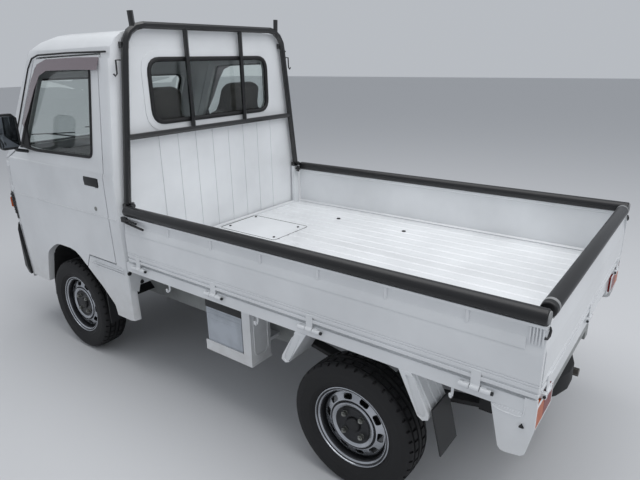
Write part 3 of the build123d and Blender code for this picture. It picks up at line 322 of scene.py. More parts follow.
RED = lens("red_acrylic_lens", "#7E1410", 8)
AMBER = lens("amber_acrylic_lens", "#B9520E", 8)
CLEAR = lens("clear_lens_over_reflector", "#C4C9CE", 14, 0.6)
print("lenses", RED.name, AMBER.name, CLEAR.name)

# %% [markdown]
# The panes are tempered glass, faintly green. The visors over the door windows are
# smoked acrylic sheet, a thin purple-grey that still lets light through.

# %% Glass and smoked acrylic
GLASS = finish_material(
    "tempered_green_glass", Roughness=0.0, Transmission_Weight=1.0, IOR=1.45, Base_Color=linear("#F3F8F6")
)[0]
SMOKE = finish_material(
    "smoked_acrylic", Roughness=0.08, Transmission_Weight=0.45, IOR=1.49, Base_Color=linear("#A3959B")
)[0]
print("see-through", GLASS.name, SMOKE.name)

# %% [markdown]
# Seat covers are woven cloth over foam. Threads 0.5 mm wide wouldn't show, so the weave
# is drawn 4 mm wide by two crossed waves, with a soft sheen for the loose fibres.

# %% Seat cloth
WEAVE_MM = 4


def seat_cloth():
    material, tree, shader, place = finish_material("woven_seat_cloth", Roughness=0.95, Sheen_Weight=0.35)
    weave = []
    for direction in ("X", "DIAGONAL"):
        threads = {"Vector": place, "Scale": math.pi / 10 / (WEAVE_MM * MM)}
        weave.append(node(tree, "ShaderNodeTexWave", threads, bands_direction=direction).outputs["Fac"])
    crossed = node(tree, "ShaderNodeMath", {0: weave[0], 1: weave[1]}, operation="MULTIPLY").outputs["Value"]
    tree.links.new(two_tone(tree, crossed, "#37322F", "#4C4541", 0.1, 0.8), shader.inputs["Base Color"])
    roughen(tree, shader, crossed, 0.5, 0.6)
    return material


CLOTH = seat_cloth()
print("material", CLOTH.name)

# %% [markdown]
# Each added piece is a bmesh until it is done. Then one helper merges its doubles, turns
# its faces outwards, shades it smooth up to a turn of 35 degrees, and lets it ride on the
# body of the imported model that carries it, so that it moves when that body does.

# %% Piece helper
def loose_object(name, bm):
    """A bmesh as a bare object in the scene."""
    mesh = bpy.data.meshes.new(name)
    bm.to_mesh(mesh)
    bm.free()
    obj = bpy.data.objects.new(name, mesh)
    bpy.context.scene.collection.objects.link(obj)
    return obj


def piece(name, bm, material, body, smooth=35.0, outwards=True):
    """A finished bmesh as an object on a body."""
    bmesh.ops.remove_doubles(bm, verts=bm.verts, dist=0.00002)
    if outwards:
        bmesh.ops.recalc_face_normals(bm, faces=bm.faces)
    for face in bm.faces:
        face.smooth = True
    for edge in bm.edges:
        edge.smooth = edge.calc_face_angle(0.0) < math.radians(smooth)
    obj = loose_object(name, bm)
    obj.data.materials.append(material)
    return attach(obj, body)


def even_normals(obj):
    """Let big flat faces keep their own normals beside narrow ones."""
    obj.modifiers.new("even_normals", "WEIGHTED_NORMAL").keep_sharp = True
    return obj


def soften(obj, width_mm, segments=2, angle=35):
    """Round a piece's edges with a live bevel."""
    bevel = obj.modifiers.new("soft_edges", "BEVEL")
    bevel.affect = "EDGES"
    bevel.segments = segments
    bevel.profile = 0.5
    bevel.material = -1
    bevel.width = width_mm * MM
    bevel.limit_method = "ANGLE"
    bevel.angle_limit = math.radians(angle)
    bevel.harden_normals = False
    return even_normals(obj)


# %% [markdown]
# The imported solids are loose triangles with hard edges. A pressed panel turns over a
# radius of a millimetre or two, and that small round is what catches the light. So each
# solid is copied, its triangles are merged back into whole faces, its shallow turns are
# shaded smooth, and a bevel softens its edges. The copy then stands for the solid.

# %% Dress a solid
def dressed(name, material, edge_mm=1.2, segments=2, angle=35):
    """A merged copy of a solid with smooth turns and soft edges, in its place."""
    body = body_of(NODES[name])[0]
    bm = bmesh.new()
    bm.from_mesh(NODES[name].data)
    for layer in (bm.loops.layers.uv, bm.loops.layers.float_vector):
        for key in layer.keys():
            layer.remove(layer[key])
    bmesh.ops.remove_doubles(bm, verts=bm.verts, dist=0.00003)
    bmesh.ops.dissolve_limit(bm, angle_limit=math.radians(0.4), verts=bm.verts, edges=bm.edges)
    obj = piece(f"dressed_{name}", bm, material, body, 33)
    custom = obj.data.attributes.get("custom_normal")
    if custom:
        obj.data.attributes.remove(custom)
    if edge_mm:
        soften(obj, edge_mm, segments, angle)
    else:
        even_normals(obj)
    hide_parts(name)
    return obj


def both(name):
    return [f"{name}_left", f"{name}_right"]


# %% [markdown]
# One table lists each solid's finish, its slot in the record and the width of its soft
# edge. Glass has none, because its edges sit in rubber. The gates' edge is narrow: a wide
# one overlaps on the 1 mm strip above the hinge straps and shows as a dark line.

# %% Finishes of the solids
# finish, slot in the record, width of the soft edge in mm, nodes
DRESS = (
    (ENAMEL, "white_paint", 2.0, ["cab_roof", "cab_back_panel", "cab_front_panel", *both("cab_side")]),
    (ENAMEL, "white_paint", 1.6, [*both("door"), "corner_posts", "mudguards"]),
    (ENAMEL, "white_paint", 0.4, [*both("gate"), "tailgate"]),
    (ENAMEL, "white_paint", 1.2, ["bed_floor", "bed_frame", "cab_floor", "battery_tray"]),
    (GLASS, "glass", 0.0, ["windscreen", "rear_window", *both("door_glass")]),
    (PAINTS["underbody_grey"], "dark_paint", 1.5, ["chassis_frame"]),
    (PAINTS["underbody_black"], "dark_paint", 1.5, ["front_suspension", "leaf_springs", "fuel_tank"]),
    (PAINTS["cast_iron_rough"], "cast_metal", 2.0, ["engine_block", "rear_axle", *both("knuckle")]),
    (PAINTS["aluminised_pipe"], "pipe_steel", 1.0, ["exhaust"]),
    (PAINTS["worn_tyre_rubber"], "tyre", 3.0, ["spare_wheel"]),
    (PAINTS["black_painted_tube"], "black_steel", 1.0, ["guard_frame"]),
    (BLACK, "black_plastic", 2.0, ["front_trim", "steering_wheel"]),
    (BLACK, "black_plastic", 4.0, both("door_fittings")),
    (BLACK, "black_plastic", 0.8, ["mud_flaps"]),
    (PAINTS["grained_grey_abs"], "grey_plastic", 4.0, ["dashboard"]),
    (PAINTS["battery_white_plastic"], "white_plastic", 3.0, ["battery_case"]),
    (RED, "lamp_red", 2.0, ["tail_lamps"]),
    (AMBER, "lamp_amber", 1.0, ["amber_lamps"]),
    (CLEAR, "lamp_clear", 1.0, ["front_lamps"]),
)
for finish, slot, edge_mm, names in DRESS:
    for name in names:
        dressed(name, finish, edge_mm)
print("dressed solids", sum(len(row[3]) for row in DRESS))

# %% [markdown]
# Many small pieces are round bars or soft-edged blocks. A cone makes a pin or a taper, and
# a scaled cube with bevelled edges makes a slab. Both are bmesh operators, so one piece
# can hold as many as it needs. Most of the truck is the same on both sides, so a piece is
# described on the left, and a mirrored copy goes to the right.

# %% Pins and slabs
def pin(bm, start, end, radius_mm, around=12, end_radius_mm=None):
    """A round bar or a taper between two points."""
    way = end - start
    place = Matrix.Translation((start + end) / 2) @ way.to_track_quat("Z", "Y").to_matrix().to_4x4()
    far = radius_mm if end_radius_mm is None else end_radius_mm
    sizes = {"radius1": radius_mm * MM, "radius2": far * MM, "depth": way.length}
    bmesh.ops.create_cone(bm, cap_ends=True, segments=around, matrix=place, **sizes)


def round_off(bm, edges, width_mm, segments):
    """Bevel edges to a round."""
    sizes = {"offset": width_mm * MM, "segments": segments, "profile": 0.5}
    bmesh.ops.bevel(bm, geom=list(edges), affect="EDGES", material=-1, **sizes)


def slab(bm, low, high, round_mm=0.0):
    """A block between two corners in millimetres, its edges rounded."""
    size = [abs(b - a) * MM for a, b in zip(low, high)]
    middle = at(*[(a + b) / 2 for a, b in zip(low, high)])
    made = bmesh.ops.create_cube(bm, size=1, matrix=Matrix.Translation(middle) @ Matrix.Diagonal((*size, 1)))
    if round_mm:
        round_off(bm, {edge for vert in made["verts"] for edge in vert.link_edges}, round_mm, 3)


def built(*shapes):
    """A bmesh of several shapes, each a helper and the values it takes."""
    bm = bmesh.new()
    for shape, *values in shapes:
        shape(bm, *values)
    return bm


def pair(name, material, body, *shapes):
    """Two pieces: the shapes on the left, and their mirror image on the right."""
    made = []
    for tag, side in SIDES:
        bm = built(*shapes)
        bmesh.ops.scale(bm, vec=(side, 1, 1), verts=bm.verts)
        made.append(piece(f"{name}_{tag}", bm, material, body.format(tag=tag)))
    return made


# %% [markdown]
# A bent bar is a circle that is extruded from point to point. At each bend the new ring is
# turned by as much as the line turns, so the bar doesn't twist. Its ends are capped, or
# joined to each other where the line is closed.

# %% Bars along a line
def extruded(bm, edges):
    """Extrude edges where they are: the new edges and the new vertices."""
    made = bmesh.ops.extrude_edge_only(bm, edges=edges)["geom"]
    verts = [item for item in made if isinstance(item, bmesh.types.BMVert)]
    held = set(verts)
    edges = {edge for vert in verts for edge in vert.link_edges if held.issuperset(edge.verts)}
    return list(edges), verts


def sweep(bm, points, radius_mm, closed=False, around=8):
    """A round bar along a line of points, closed on itself or capped."""
    count = len(points)
    edges, first, old_way, old_point = [], [], None, None
    for i, point in enumerate(points):
        before = points[i - 1] if closed or i else points[0]
        after = points[(i + 1) % count] if closed or i + 1 < count else points[-1]
        way = (after - before).normalized()
        if old_way is None:
            place = Matrix.Translation(point) @ way.to_track_quat("Z", "Y").to_matrix().to_4x4()
            ring = bmesh.ops.create_circle(bm, segments=around, radius=radius_mm * MM, matrix=place)
            edges = first = list({edge for vert in ring["verts"] for edge in vert.link_edges})
        else:
            edges, verts = extruded(bm, edges)
            swing = old_way.rotation_difference(way).to_matrix().to_4x4()
            step = Matrix.Translation(point) @ swing @ Matrix.Translation(-old_point)
            bmesh.ops.transform(bm, matrix=step, verts=verts)
        old_way, old_point = way, point
    if closed:
        bmesh.ops.bridge_loops(bm, edges=first + edges)
    else:
        bmesh.ops.edgeloop_fill(bm, edges=first)
        bmesh.ops.edgeloop_fill(bm, edges=edges)


# %% [markdown]
# Thin parts start as one face on their outline, or as a line that is extruded to a strip.
# Extruding the face along a vector, or giving the strip a wall, makes them solid.

# %% Plates and strips
def plate(bm, points, thickness):
    """A face through points, extruded by a vector."""
    face = bm.faces.new([bm.verts.new(p) for p in points])
    made = bmesh.ops.extrude_face_region(bm, geom=[face])["geom"]
    verts = [item for item in made if isinstance(item, bmesh.types.BMVert)]
    bmesh.ops.translate(bm, vec=thickness, verts=verts)


def open_line(bm, points):
    """Edges through points, for a strip."""
    row = [bm.verts.new(point) for point in points]
    return [bm.edges.new(pair) for pair in zip(row, row[1:])]


def give_wall(bm, wall_mm):
    """Turn a strip's faces one way and give them a wall."""
    bmesh.ops.recalc_face_normals(bm, faces=bm.faces)
    bmesh.ops.solidify(bm, geom=bm.faces[:], thickness=wall_mm * MM)


# %% [markdown]
# Seals and seams follow outlines with round corners: a few points with a radius each. On
# a crowned face the straight stretches are cut shorter, so that they follow the crown.

# %% Outlines
def rounded(corners, radii, steps=5):
    """A flat closed line of (u, v) whose corners turn round their radii."""
    line = []
    for i, (corner, radius) in enumerate(zip(corners, radii)):
        here, before, after = Vector(corner), Vector(corners[i - 1]), Vector(corners[(i + 1) % len(corners)])
        back, on = (before - here).normalized(), (after - here).normalized()
        reach = radius / math.tan(back.angle(on) / 2)
        for k in range(steps + 1):
            share = k / steps
            a, b = here + back * reach * (1 - share), here + on * reach * share
            line.append(tuple(a.lerp(b, share)))
    return line


def dense(line, gap_mm):
    """The same closed line with points no further apart than a gap."""
    result = []
    for a, b in zip(line, line[1:] + line[:1]):
        parts = max(1, math.ceil(math.dist(a, b) / gap_mm))
        result += [tuple(p + (q - p) * k / parts for p, q in zip(a, b)) for k in range(parts)]
    return result


# %% [markdown]
# A tyre is a profile carried round the axle. The profile below runs over the left half
# from the bead to the crown: a smooth sidewall with two raised rings, a rounded shoulder
# and two tread grooves. It is mirrored to a closed line and spun in 160 steps of about
# 10 mm. Every fourth face of the shoulder and middle ribs is then sunk to cut the blocks.

# %% Tyre shape
# distance from the middle, radius, in mm
HALF_TYRE = (
    (49.5, 152.2), (57, 172), (64, 176), (69, 184), (71.5, 189), (72.8, 190.5), (72.6, 194), (73.4, 199),
    (74.4, 208), (75, 217), (74.6, 227), (75.2, 230), (74.6, 234), (73, 243), (70, 252), (66, 259),
    (60, 264.5), (52, 267.2), (46, 268), (45.2, 260.5), (38.8, 260.5), (38, 268.8), (16, 269.7), (15.2, 262),
    (8.8, 262), (8, 270),
)
TYRE_STEPS = 160
BLOCK_STEPS = 4
# rib: nearest and farthest from the middle, least radius in mm, shift of its blocks left and right
RIBS = ((44, 68, 258, 2, 0), (17, 37, 266, 1, 3))


def spun(bm, profile, steps, closed=True):
    """A line of (place across, radius) in mm carried round the X axis."""
    verts = [bm.verts.new((x * MM, 0, r * MM)) for x, r in profile]
    ends = verts[1:] + verts[:1] if closed else verts[1:]
    edges = [bm.edges.new(pair) for pair in zip(verts, ends)]
    turn = {"cent": (0, 0, 0), "axis": (1, 0, 0), "angle": 2 * math.pi, "steps": steps}
    bmesh.ops.spin(bm, geom=verts + edges, use_merge=True, **turn)


def between_blocks(face):
    """Whether a face of the tyre lies between two blocks of a rib."""
    middle = face.calc_center_median()
    across, radius = middle.x / MM, math.hypot(middle.y, middle.z) / MM
    step = round(math.atan2(middle.y, middle.z) / (2 * math.pi) * TYRE_STEPS - 0.5) % TYRE_STEPS
    for near, far, least, left, right in RIBS:
        shift = left if across > 0 else right
        if near < abs(across) < far and radius > least and (step + shift) % BLOCK_STEPS == 0:
            return True
    return False


def tyre_shape():
    bm = bmesh.new()
    spun(bm, HALF_TYRE + tuple((-x, r) for x, r in reversed(HALF_TYRE)), TYRE_STEPS)
    bmesh.ops.recalc_face_normals(bm, faces=bm.faces)
    cuts = [face for face in bm.faces if between_blocks(face)]
    bmesh.ops.inset_individual(bm, faces=cuts, thickness=0.0012, depth=-0.005)
    return bm


# %% [markdown]
# Each piece of a wheel is made once round the origin with its outer side to the left. It
# is mirrored for the right side and moved to its axle, and rides on the wheel's body.

# %% Tyres on their wheels
AXLES = (("front", FRONT_AXLE), ("rear", REAR_AXLE))
WHEELS = [(f"{end}_{tag}", axle, side) for end, axle in AXLES for tag, side in SIDES]


def wheel_piece(name, bm, material, wheel, smooth=35.0):
    """A piece made round the origin, facing left, on its wheel."""
    tag, axle, side = wheel
    if side < 0:
        bmesh.ops.scale(bm, vec=(-1, 1, 1), verts=bm.verts)
    bmesh.ops.translate(bm, vec=at(side * WHEEL_X, axle, TYRE_R), verts=bm.verts)
    return piece(f"{name}_{tag}", bm, material, f"wheel_{tag}", smooth)


for wheel in WHEELS:
    tyre = wheel_piece("tyre_tread", tyre_shape(), PAINTS["worn_tyre_rubber"], wheel, 40)
    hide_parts(f"tyre_{wheel[0]}")
print("tyre triangles", sum(len(p.vertices) - 2 for p in tyre.data.polygons))

# %% [markdown]
# The wheel is pressed from steel sheet: a barrel rolled to hold the tyre's beads, with a
# bright double lip, and a disc welded inside it. The disc slopes out through a band with
# ten oval vents to a raised ring, then dips to the hub. Both are spun profiles, and the
# vents are cut by a Boolean whose cutters are removed once its result is kept. The cutters
# stand askew to the spun faces, because a cut along an edge can fail.

# %% Wheel disc with its vents
BARREL = (
    (58, 170), (59.2, 168), (58.6, 165), (55, 163.5), (52.6, 161.5), (52, 159), (53.4, 157.2), (52.6, 154.5),
    (49, 151), (44, 147.4), (-44, 147.4), (-52, 154), (-58, 165), (-58, 170), (-50, 152.2), (50, 152.2),
)
DISC = (
    (22, 147.6), (24.5, 143), (27, 137), (32, 124), (37, 108), (38, 104), (36.4, 101.6), (36.6, 99),
    (40, 97.4), (43.4, 95), (44.4, 91.5), (43.2, 87), (39, 80), (35, 73), (33, 69), (32, 64), (31.4, 40),
    (31.4, 30.4), (25.2, 30.4), (25.2, 61), (28, 70), (35, 82), (38, 90), (33, 99), (32.5, 105), (27, 124),
    (21, 139), (16, 147.6),
)
WHEEL_STEPS = 80
VENT_COUNT = 10
VENT_ASKEW = 0.37
VENT_PLACE = (30, 0, 120)
VENT_SIZE = (100, 40, 23)
VENT_ROUND = 8


def vent_cutters():
    """A block with rounded edges through each vent."""
    bm = bmesh.new()
    for k in range(VENT_COUNT):
        turn = Matrix.Rotation(2 * math.pi * (k + VENT_ASKEW) / VENT_COUNT, 4, "X")
        place = turn @ Matrix.Translation(at(*VENT_PLACE)) @ Matrix.Diagonal((*at(*VENT_SIZE), 1))
        made = bmesh.ops.create_cube(bm, size=1, matrix=place)
        edges = {edge for vert in made["verts"] for edge in vert.link_edges}
        through = [edge for edge in edges if edge.calc_length() > 0.9 * VENT_SIZE[0] * MM]
        round_off(bm, through, VENT_ROUND, 4)
    return loose_object("cutters", bm)


def cut_disc():
    """The wheel's disc with its ten oval vents, as a mesh round the origin."""
    bm = bmesh.new()
    spun(bm, DISC, WHEEL_STEPS)
    bmesh.ops.remove_doubles(bm, verts=bm.verts, dist=0.00002)
    bmesh.ops.recalc_face_normals(bm, faces=bm.faces)
    disc, cutters = loose_object("disc", bm), vent_cutters()
    vents = disc.modifiers.new("vents", "BOOLEAN")
    vents.operation = "DIFFERENCE"
    vents.object = cutters
    mesh = bpy.data.meshes.new_from_object(disc.evaluated_get(bpy.context.evaluated_depsgraph_get()))
    for obj in (disc, cutters):
        spare = obj.data
        bpy.data.objects.remove(obj)
        bpy.data.meshes.remove(spare)
    return mesh


DISC_MESH = cut_disc()
print("vents", VENT_COUNT, "disc faces", len(DISC_MESH.polygons))

# %% [markdown]
# The outer face is silver on the slope, the raised ring and the two lips. The grooves
# between them, the recessed centre and the back are a dark grey that is painted shade.
# Each face of the rim takes the silver or the painted shade by the band its radius falls in.

# %% Rims in silver paint and painted shade
# silver bands, from one radius to another in mm; the rest of the rim is painted shade
BRIGHT = ((83, 97.2), (104.5, 139), (152, 157.6), (163.4, 180))


def rim_shape():
    bm = bmesh.new()
    bm.from_mesh(DISC_MESH)
    spun(bm, BARREL, WHEEL_STEPS)
    return bm


def paint_bands(rim, wheel):
    tag, axle, side = wheel
    # slot 1 is the dark grey of painted shade, for the grooves, the recessed centre and the back
    rim.data.materials.append(PAINTS["wheel_painted_shade"])
    for face in rim.data.polygons:
        middle = face.center - at(side * WHEEL_X, axle, TYRE_R)
        radius = math.hypot(middle.y, middle.z) / MM
        bright = any(low < radius < high for low, high in BRIGHT)
        face.material_index = 0 if bright and side * middle.x > 0 else 1


for wheel in WHEELS:
    rim = wheel_piece("wheel_disc", rim_shape(), PAINTS["silver_wheel_paint"], wheel, 28)
    soften(rim, 0.8, 2, 40)
    paint_bands(rim, wheel)
    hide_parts(f"rim_{wheel[0]}")
print("rims", len(WHEELS))

# %% [markdown]
# Four nuts hold each wheel. A shallow dish in the dark grey of painted shade lies under them,
# and a cap closes the hub, both spun profiles.

# %% Nuts, dishes and hub caps
NUT_COUNT = 4
NUT_CIRCLE = 54
# seat, nut and stud: start and end from the wheel's middle, radius, sides, end radius
NUT = ((30, 36, 13, 20, 11), (36, 48, 11, 6, 11), (48, 54, 6, 10, 6))
HUB_CAP = ((24, 29.6), (38, 29.6), (43, 26), (45, 18), (45.5, 0.2), (24, 0.2))
DISH = ((32.2, 31.5), (33.6, 33), (34.2, 60), (36, 68.5), (33.9, 71), (31, 66), (30.5, 31.5))


def nut(bm, k):
    """One nut with its seat and its stud."""
    turn = math.pi * (2 * k + 1) / NUT_COUNT
    y, z = NUT_CIRCLE * math.sin(turn), NUT_CIRCLE * math.cos(turn)
    for start, end, radius, sides, end_radius in NUT:
        pin(bm, at(start, y, z), at(end, y, z), radius, sides, end_radius)


for wheel in WHEELS:
    nuts = built(*[(nut, k) for k in range(NUT_COUNT)])
    wheel_piece("lug_nuts", nuts, PAINTS["zinc_plated_steel"], wheel)
    wheel_piece("hub_cap", built((spun, HUB_CAP, 32)), BLACK, wheel)
    # the dish's dark grey is painted shade in the wheel's recessed centre
    wheel_piece("dish", built((spun, DISH, 48)), PAINTS["wheel_painted_shade"], wheel)
print("nuts", NUT_COUNT * len(WHEELS))

# %% [markdown]
# Black foam tubes are pushed over the tops of the gates to protect them. Each is a round
# bar with soft ends, cut flat where it sits on the gate's top edge. A grey disc closes
# the side tube at the rear, and a band of tape goes round each end of the rear one.

# %% Foam tubes
PAD_R = 25
PAD_Z = GATE_TOP + 21
PAD_X = BODY_HALF - 18
TAIL_PAD_X = 627
TAIL_PAD_Y = BED_REAR - 18
TAPE = (588, 603)
FOAM = PAINTS["foam_tube_black_vinyl"]
FOAM_END = PAINTS["foam_tube_end_grey"]


def foam_bar(bm, start, end, radius_mm=PAD_R, soft_mm=6):
    """A foam tube with rounded ends and a flat seat on the gate."""
    pin(bm, start, end, radius_mm, 40)
    rims = [e for e in bm.edges if e.calc_face_angle(0.0) > math.radians(60)]
    if soft_mm:
        round_off(bm, rims, soft_mm, 4)
    every = bm.verts[:] + bm.edges[:] + bm.faces[:]
    bmesh.ops.bisect_plane(bm, geom=every, plane_co=at(0, 0, GATE_TOP), plane_no=(0, 0, 1), clear_inner=True)
    bmesh.ops.holes_fill(bm, edges=[e for e in bm.edges if e.is_boundary], sides=0)


def as_foam(tube, node_name):
    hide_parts(node_name)


tube = (foam_bar, at(PAD_X, BED_FRONT + 40, PAD_Z), at(PAD_X, BED_REAR - 2, PAD_Z))
for (tag, side), obj in zip(SIDES, pair("foam_tube", FOAM, "gate_{tag}", tube)):
    as_foam(obj, f"pad_{tag}")
end = (foam_bar, at(PAD_X, BED_REAR - 4, PAD_Z), at(PAD_X, BED_REAR + 1, PAD_Z), 20, 1)
pair("foam_end", FOAM_END, "gate_{tag}", end)
tail = built((foam_bar, at(-TAIL_PAD_X, TAIL_PAD_Y, PAD_Z), at(TAIL_PAD_X, TAIL_PAD_Y, PAD_Z)))
as_foam(piece("foam_tube_tail", tail, FOAM, "tailgate"), "pad_tail")
tape = (foam_bar, at(TAPE[0], TAIL_PAD_Y, PAD_Z), at(TAPE[1], TAIL_PAD_Y, PAD_Z), PAD_R + 0.7, 0)
pair("foam_tape", FOAM_END, "tailgate", tape)
print("foam tubes", 3)

# %% [markdown]
# The seats are cloth over foam. A wide bevel makes their solids plump, and a piped seam
# runs round each cushion's top. Simulated cloth would crease more, but the seats are seen
# only through glass.

# %% Seats
SEAT_X = 300
CUSHION_FRONT = -1134
CUSHION_Z = 903
CUSHION_LEAN = 0.03
SEAT_LINE = rounded([(-214, -1116), (214, -1116), (214, -708), (-214, -708)], [60, 60, 40, 40])
for name, width in (("seat_bases", 16), ("seat_backs", 15)):
    dressed(name, CLOTH, width, 4, 20)
seam = []
for x, y in dense(SEAT_LINE, 80):
    seam.append(at(SEAT_X + x, y, CUSHION_Z - CUSHION_LEAN * (y - CUSHION_FRONT)))
pair("seat_piping", CLOTH, "truck", (sweep, seam, 3.5, True))
print("seam points", len(seam))

# %% [markdown]
# Black rubber seals hold the panes. Each one is a round cord swept along the opening's
# own outline, so it follows the lean of the doors and the crown of the windscreen.

# %% Window seals
SCREEN_LINE = rounded([(-588, 1138), (588, 1138), (543, 1530), (-543, 1530)], [70, 70, 60, 60])
REAR_LINE = rounded([(-418, 1325), (418, 1325), (418, 1626), (-418, 1626)], [68] * 4)
DOOR_LINE = rounded(
    [(DOOR_REAR - 86, 1176), (DOOR_REAR - 64, 1600), (CAB_FRONT + 634, 1582), (CAB_FRONT + 402, 1176),
     (CAB_FRONT + 561, 1165)],
    [34, 34, 50, 26, 100],
)
line = [at(x, screen_y(x, z) + 2, z) for x, z in dense(SCREEN_LINE, 60)]
piece("windscreen_seal", built((sweep, line, 10, True)), RUBBER, "truck")
line = [at(x, CAB_BACK + 1, z) for x, z in REAR_LINE]
piece("rear_window_seal", built((sweep, line, 12, True, 12)), RUBBER, "truck")
line = [at(skin_x(z) - 2, y, z) for y, z in dense(DOOR_LINE, 120)]
pair("door_window_seal", RUBBER, "door_{tag}", (sweep, line, 9, True))
print("window seals", 4)

# %% [markdown]
# A visor of smoked acrylic keeps rain off the open window. It is a bent strip: its upper
# line lies on the door and its lower line stands 12 mm further out.

# %% Rain visors
# upper line and lower line, as (place along, height) in mm
VISOR = (
    ((-428, 1640), (-434, 1584)), ((-620, 1641), (-620, 1585)), ((-905, 1635), (-888, 1580)),
    ((-1000, 1611), (-962, 1556)), ((-1075, 1535), (-1026, 1486)), ((-1158, 1398), (-1110, 1366)),
    ((-1214, 1300), (-1176, 1286)),
)


def visor(bm):
    edges = open_line(bm, [at(skin_x(z) + 3, y, z) for (y, z), low in VISOR])
    edges, verts = extruded(bm, edges)
    verts.sort(key=lambda vert: -vert.co.y)
    for vert, (high, (y, z)) in zip(verts, VISOR):
        vert.co = at(skin_x(z) + 15, y, z)
    give_wall(bm, 2.5)


pair("door_visor", SMOKE, "door_{tag}", (visor,))
print("visor points", 2 * len(VISOR))

# %% [markdown]
# In front of each door window are a black quarter plate and the rubber of the windscreen
# pillar, both cut from sheet. A drip rail runs above the door and down the pillar.

# %% Quarter plates and drip rails
QUARTER = ((-1240, 1168), (-1150, 1164), (-1176, 1284))
PILLAR_RUBBER = ((-1268, 1166), (-1236, 1166), (-1236, 1176), (-1004, 1590), (-1022, 1598), (-1040, 1580))
DRIP_LINE = ((-372, 1662), (-700, 1662), (-985, 1656), (-1050, 1640), (-1098, 1590), (-1330, 1172))
for name, line, wall in (("quarter_plate", QUARTER, 10), ("pillar_rubber", PILLAR_RUBBER, 9.5)):
    inner = [at(skin_x(z) - 8, y, z) for y, z in line]
    for obj in pair(name, RUBBER, "door_{tag}", (plate, inner, at(wall, 0, 0))):
        soften(obj, 2)
rail = [at(skin_x(z) + 1, y, z) for y, z in DRIP_LINE]
pair("drip_rail", RUBBER, "truck", (sweep, rail, 4.5))
print("door sheet pieces", 2 * len(SIDES))

# %% [markdown]
# The mirror's glass, the handle's paddle and the lock are set into the door's fittings, so
# that each has its own finish: silvered glass, black plastic and plated steel.

# %% Mirror glass, handle and lock
MIRROR = ((764, -1078.5, 1198), (854, -1075.5, 1358))
PADDLE = ((684, -617, 1030), (694, -494, 1078))
LOCK = (-543, 917)
# the lock's two discs: start and end across, radius, sides
LOCK_DISCS = ((688, 694, 11, 20), (693, 695, 6, 12))
pair("mirror_glass", PAINTS["mirror_glass_silver"], "door_{tag}", (slab, *MIRROR, 1.2))
pair("handle_paddle", BLACK, "door_{tag}", (slab, *PADDLE, 4.5))
discs = [(pin, at(a, *LOCK), at(b, *LOCK), *sizes) for a, b, *sizes in LOCK_DISCS]
pair("key_lock", PAINTS["zinc_plated_steel"], "door_{tag}", *discs)
print("lock discs", len(discs))

# %% [markdown]
# Beads are pressed along the cab's side to stiffen the sheet: one just above the lamps'
# height, three short ones on the sill behind the wheel. Here each is a bar sunk into the
# skin, so that only its round back shows.

# %% Side beads
BEAD_Z = 883
BEAD_END = -375
SILL_BEND = (-640, 618)
SILL_DROPS = (0, 12, 24)


def bead(*places):
    """A bead's line on the cab's left side."""
    return [at(BODY_HALF - 0.6, y, z) for y, z in places]


pair("door_bead", ENAMEL, "door_{tag}", (sweep, bead((-1430, BEAD_Z), (-450, BEAD_Z)), 2.6))
beads = [(sweep, bead((-440, BEAD_Z), (BEAD_END, BEAD_Z)), 2.6)]
for drop in SILL_DROPS:
    y, z = SILL_BEND[0] + drop, SILL_BEND[1] - drop
    line = bead((y - 12, z - 12), (y, z), (BEAD_END, z))
    beads.append((sweep, line, 2.2))
pair("side_beads", ENAMEL, "truck", *beads)
print("beads on a side", len(beads) + 1)

# %% [markdown]
# A vent in black plastic and a small amber lamp close the front corner. The corner is
# round and leans, so a ray from the side finds it: the vent is a strip whose rows are laid
# on it one below the other, and its bars follow it too.

# %% The rounded front corner
def corner_faces():
    """The front trim and the front panel as one tree of faces."""
    places, faces = [], []
    for name in ("front_trim", "cab_front_panel"):
        mesh = NODES[name].data
        faces += [[len(places) + i for i in p.vertices] for p in mesh.polygons]
        places += [v.co.copy() for v in mesh.vertices]
    return BVHTree.FromPolygons(places, faces)


CORNER = corner_faces()


def on_corner(y, z, out=0):
    """A place on the left front corner, found by a ray from the side, or a little outside it."""
    found = CORNER.ray_cast(at(1200, y, z), Vector((-1, 0, 0)))[0]
    return found + at(out, 0, 0)


print("corner at lamp height", round(on_corner(-1540, 806).x, 4), "m out")

# %% Corner vents and side lamps
VENT_LINE = range(-1532, -1441, 10)
VENT_TOP = 884
VENT_ROWS = 6
VENT_ROW = 28
VENT_BARS = 8
BAR_FRONT = -1520
BAR_REAR = -1450
BAR_TOP = 862
BAR_PITCH = 16
LAMP_Y = -1540
LAMP_Z = 806
LAMP_TURN = math.radians(42.6)


def vent_sheet(bm):
    """A strip laid on the corner row by row, with a wall."""
    edges = open_line(bm, [on_corner(y, VENT_TOP, 1) for y in VENT_LINE])
    for k in range(VENT_ROWS):
        edges, verts = extruded(bm, edges)
        for vert in verts:
            vert.co = on_corner(vert.co.y / MM, vert.co.z / MM - VENT_ROW, 1)
    give_wall(bm, 4)


def side_lamp(bm):
    """A block on the corner, turned to face as the corner does."""
    foot = on_corner(LAMP_Y, LAMP_Z)
    x = foot.x / MM
    slab(bm, (x - 12, LAMP_Y - 20, LAMP_Z - 32), (x + 18, LAMP_Y + 20, LAMP_Z + 32), 7)
    bmesh.ops.rotate(bm, cent=foot, matrix=Matrix.Rotation(-LAMP_TURN, 3, "Z"), verts=bm.verts)


bars = []
for k in range(VENT_BARS):
    places = range(BAR_FRONT + 2 * k, BAR_REAR, 11)
    line = [on_corner(y, BAR_TOP - BAR_PITCH * k, 3) for y in places]
    bars.append((sweep, line, 3.5))
pair("corner_vent", BLACK, "truck", (vent_sheet,))
pair("corner_vent_bars", BLACK, "truck", *bars)
pair("side_lamp", AMBER, "truck", (side_lamp,))
print("vent bars", VENT_BARS)

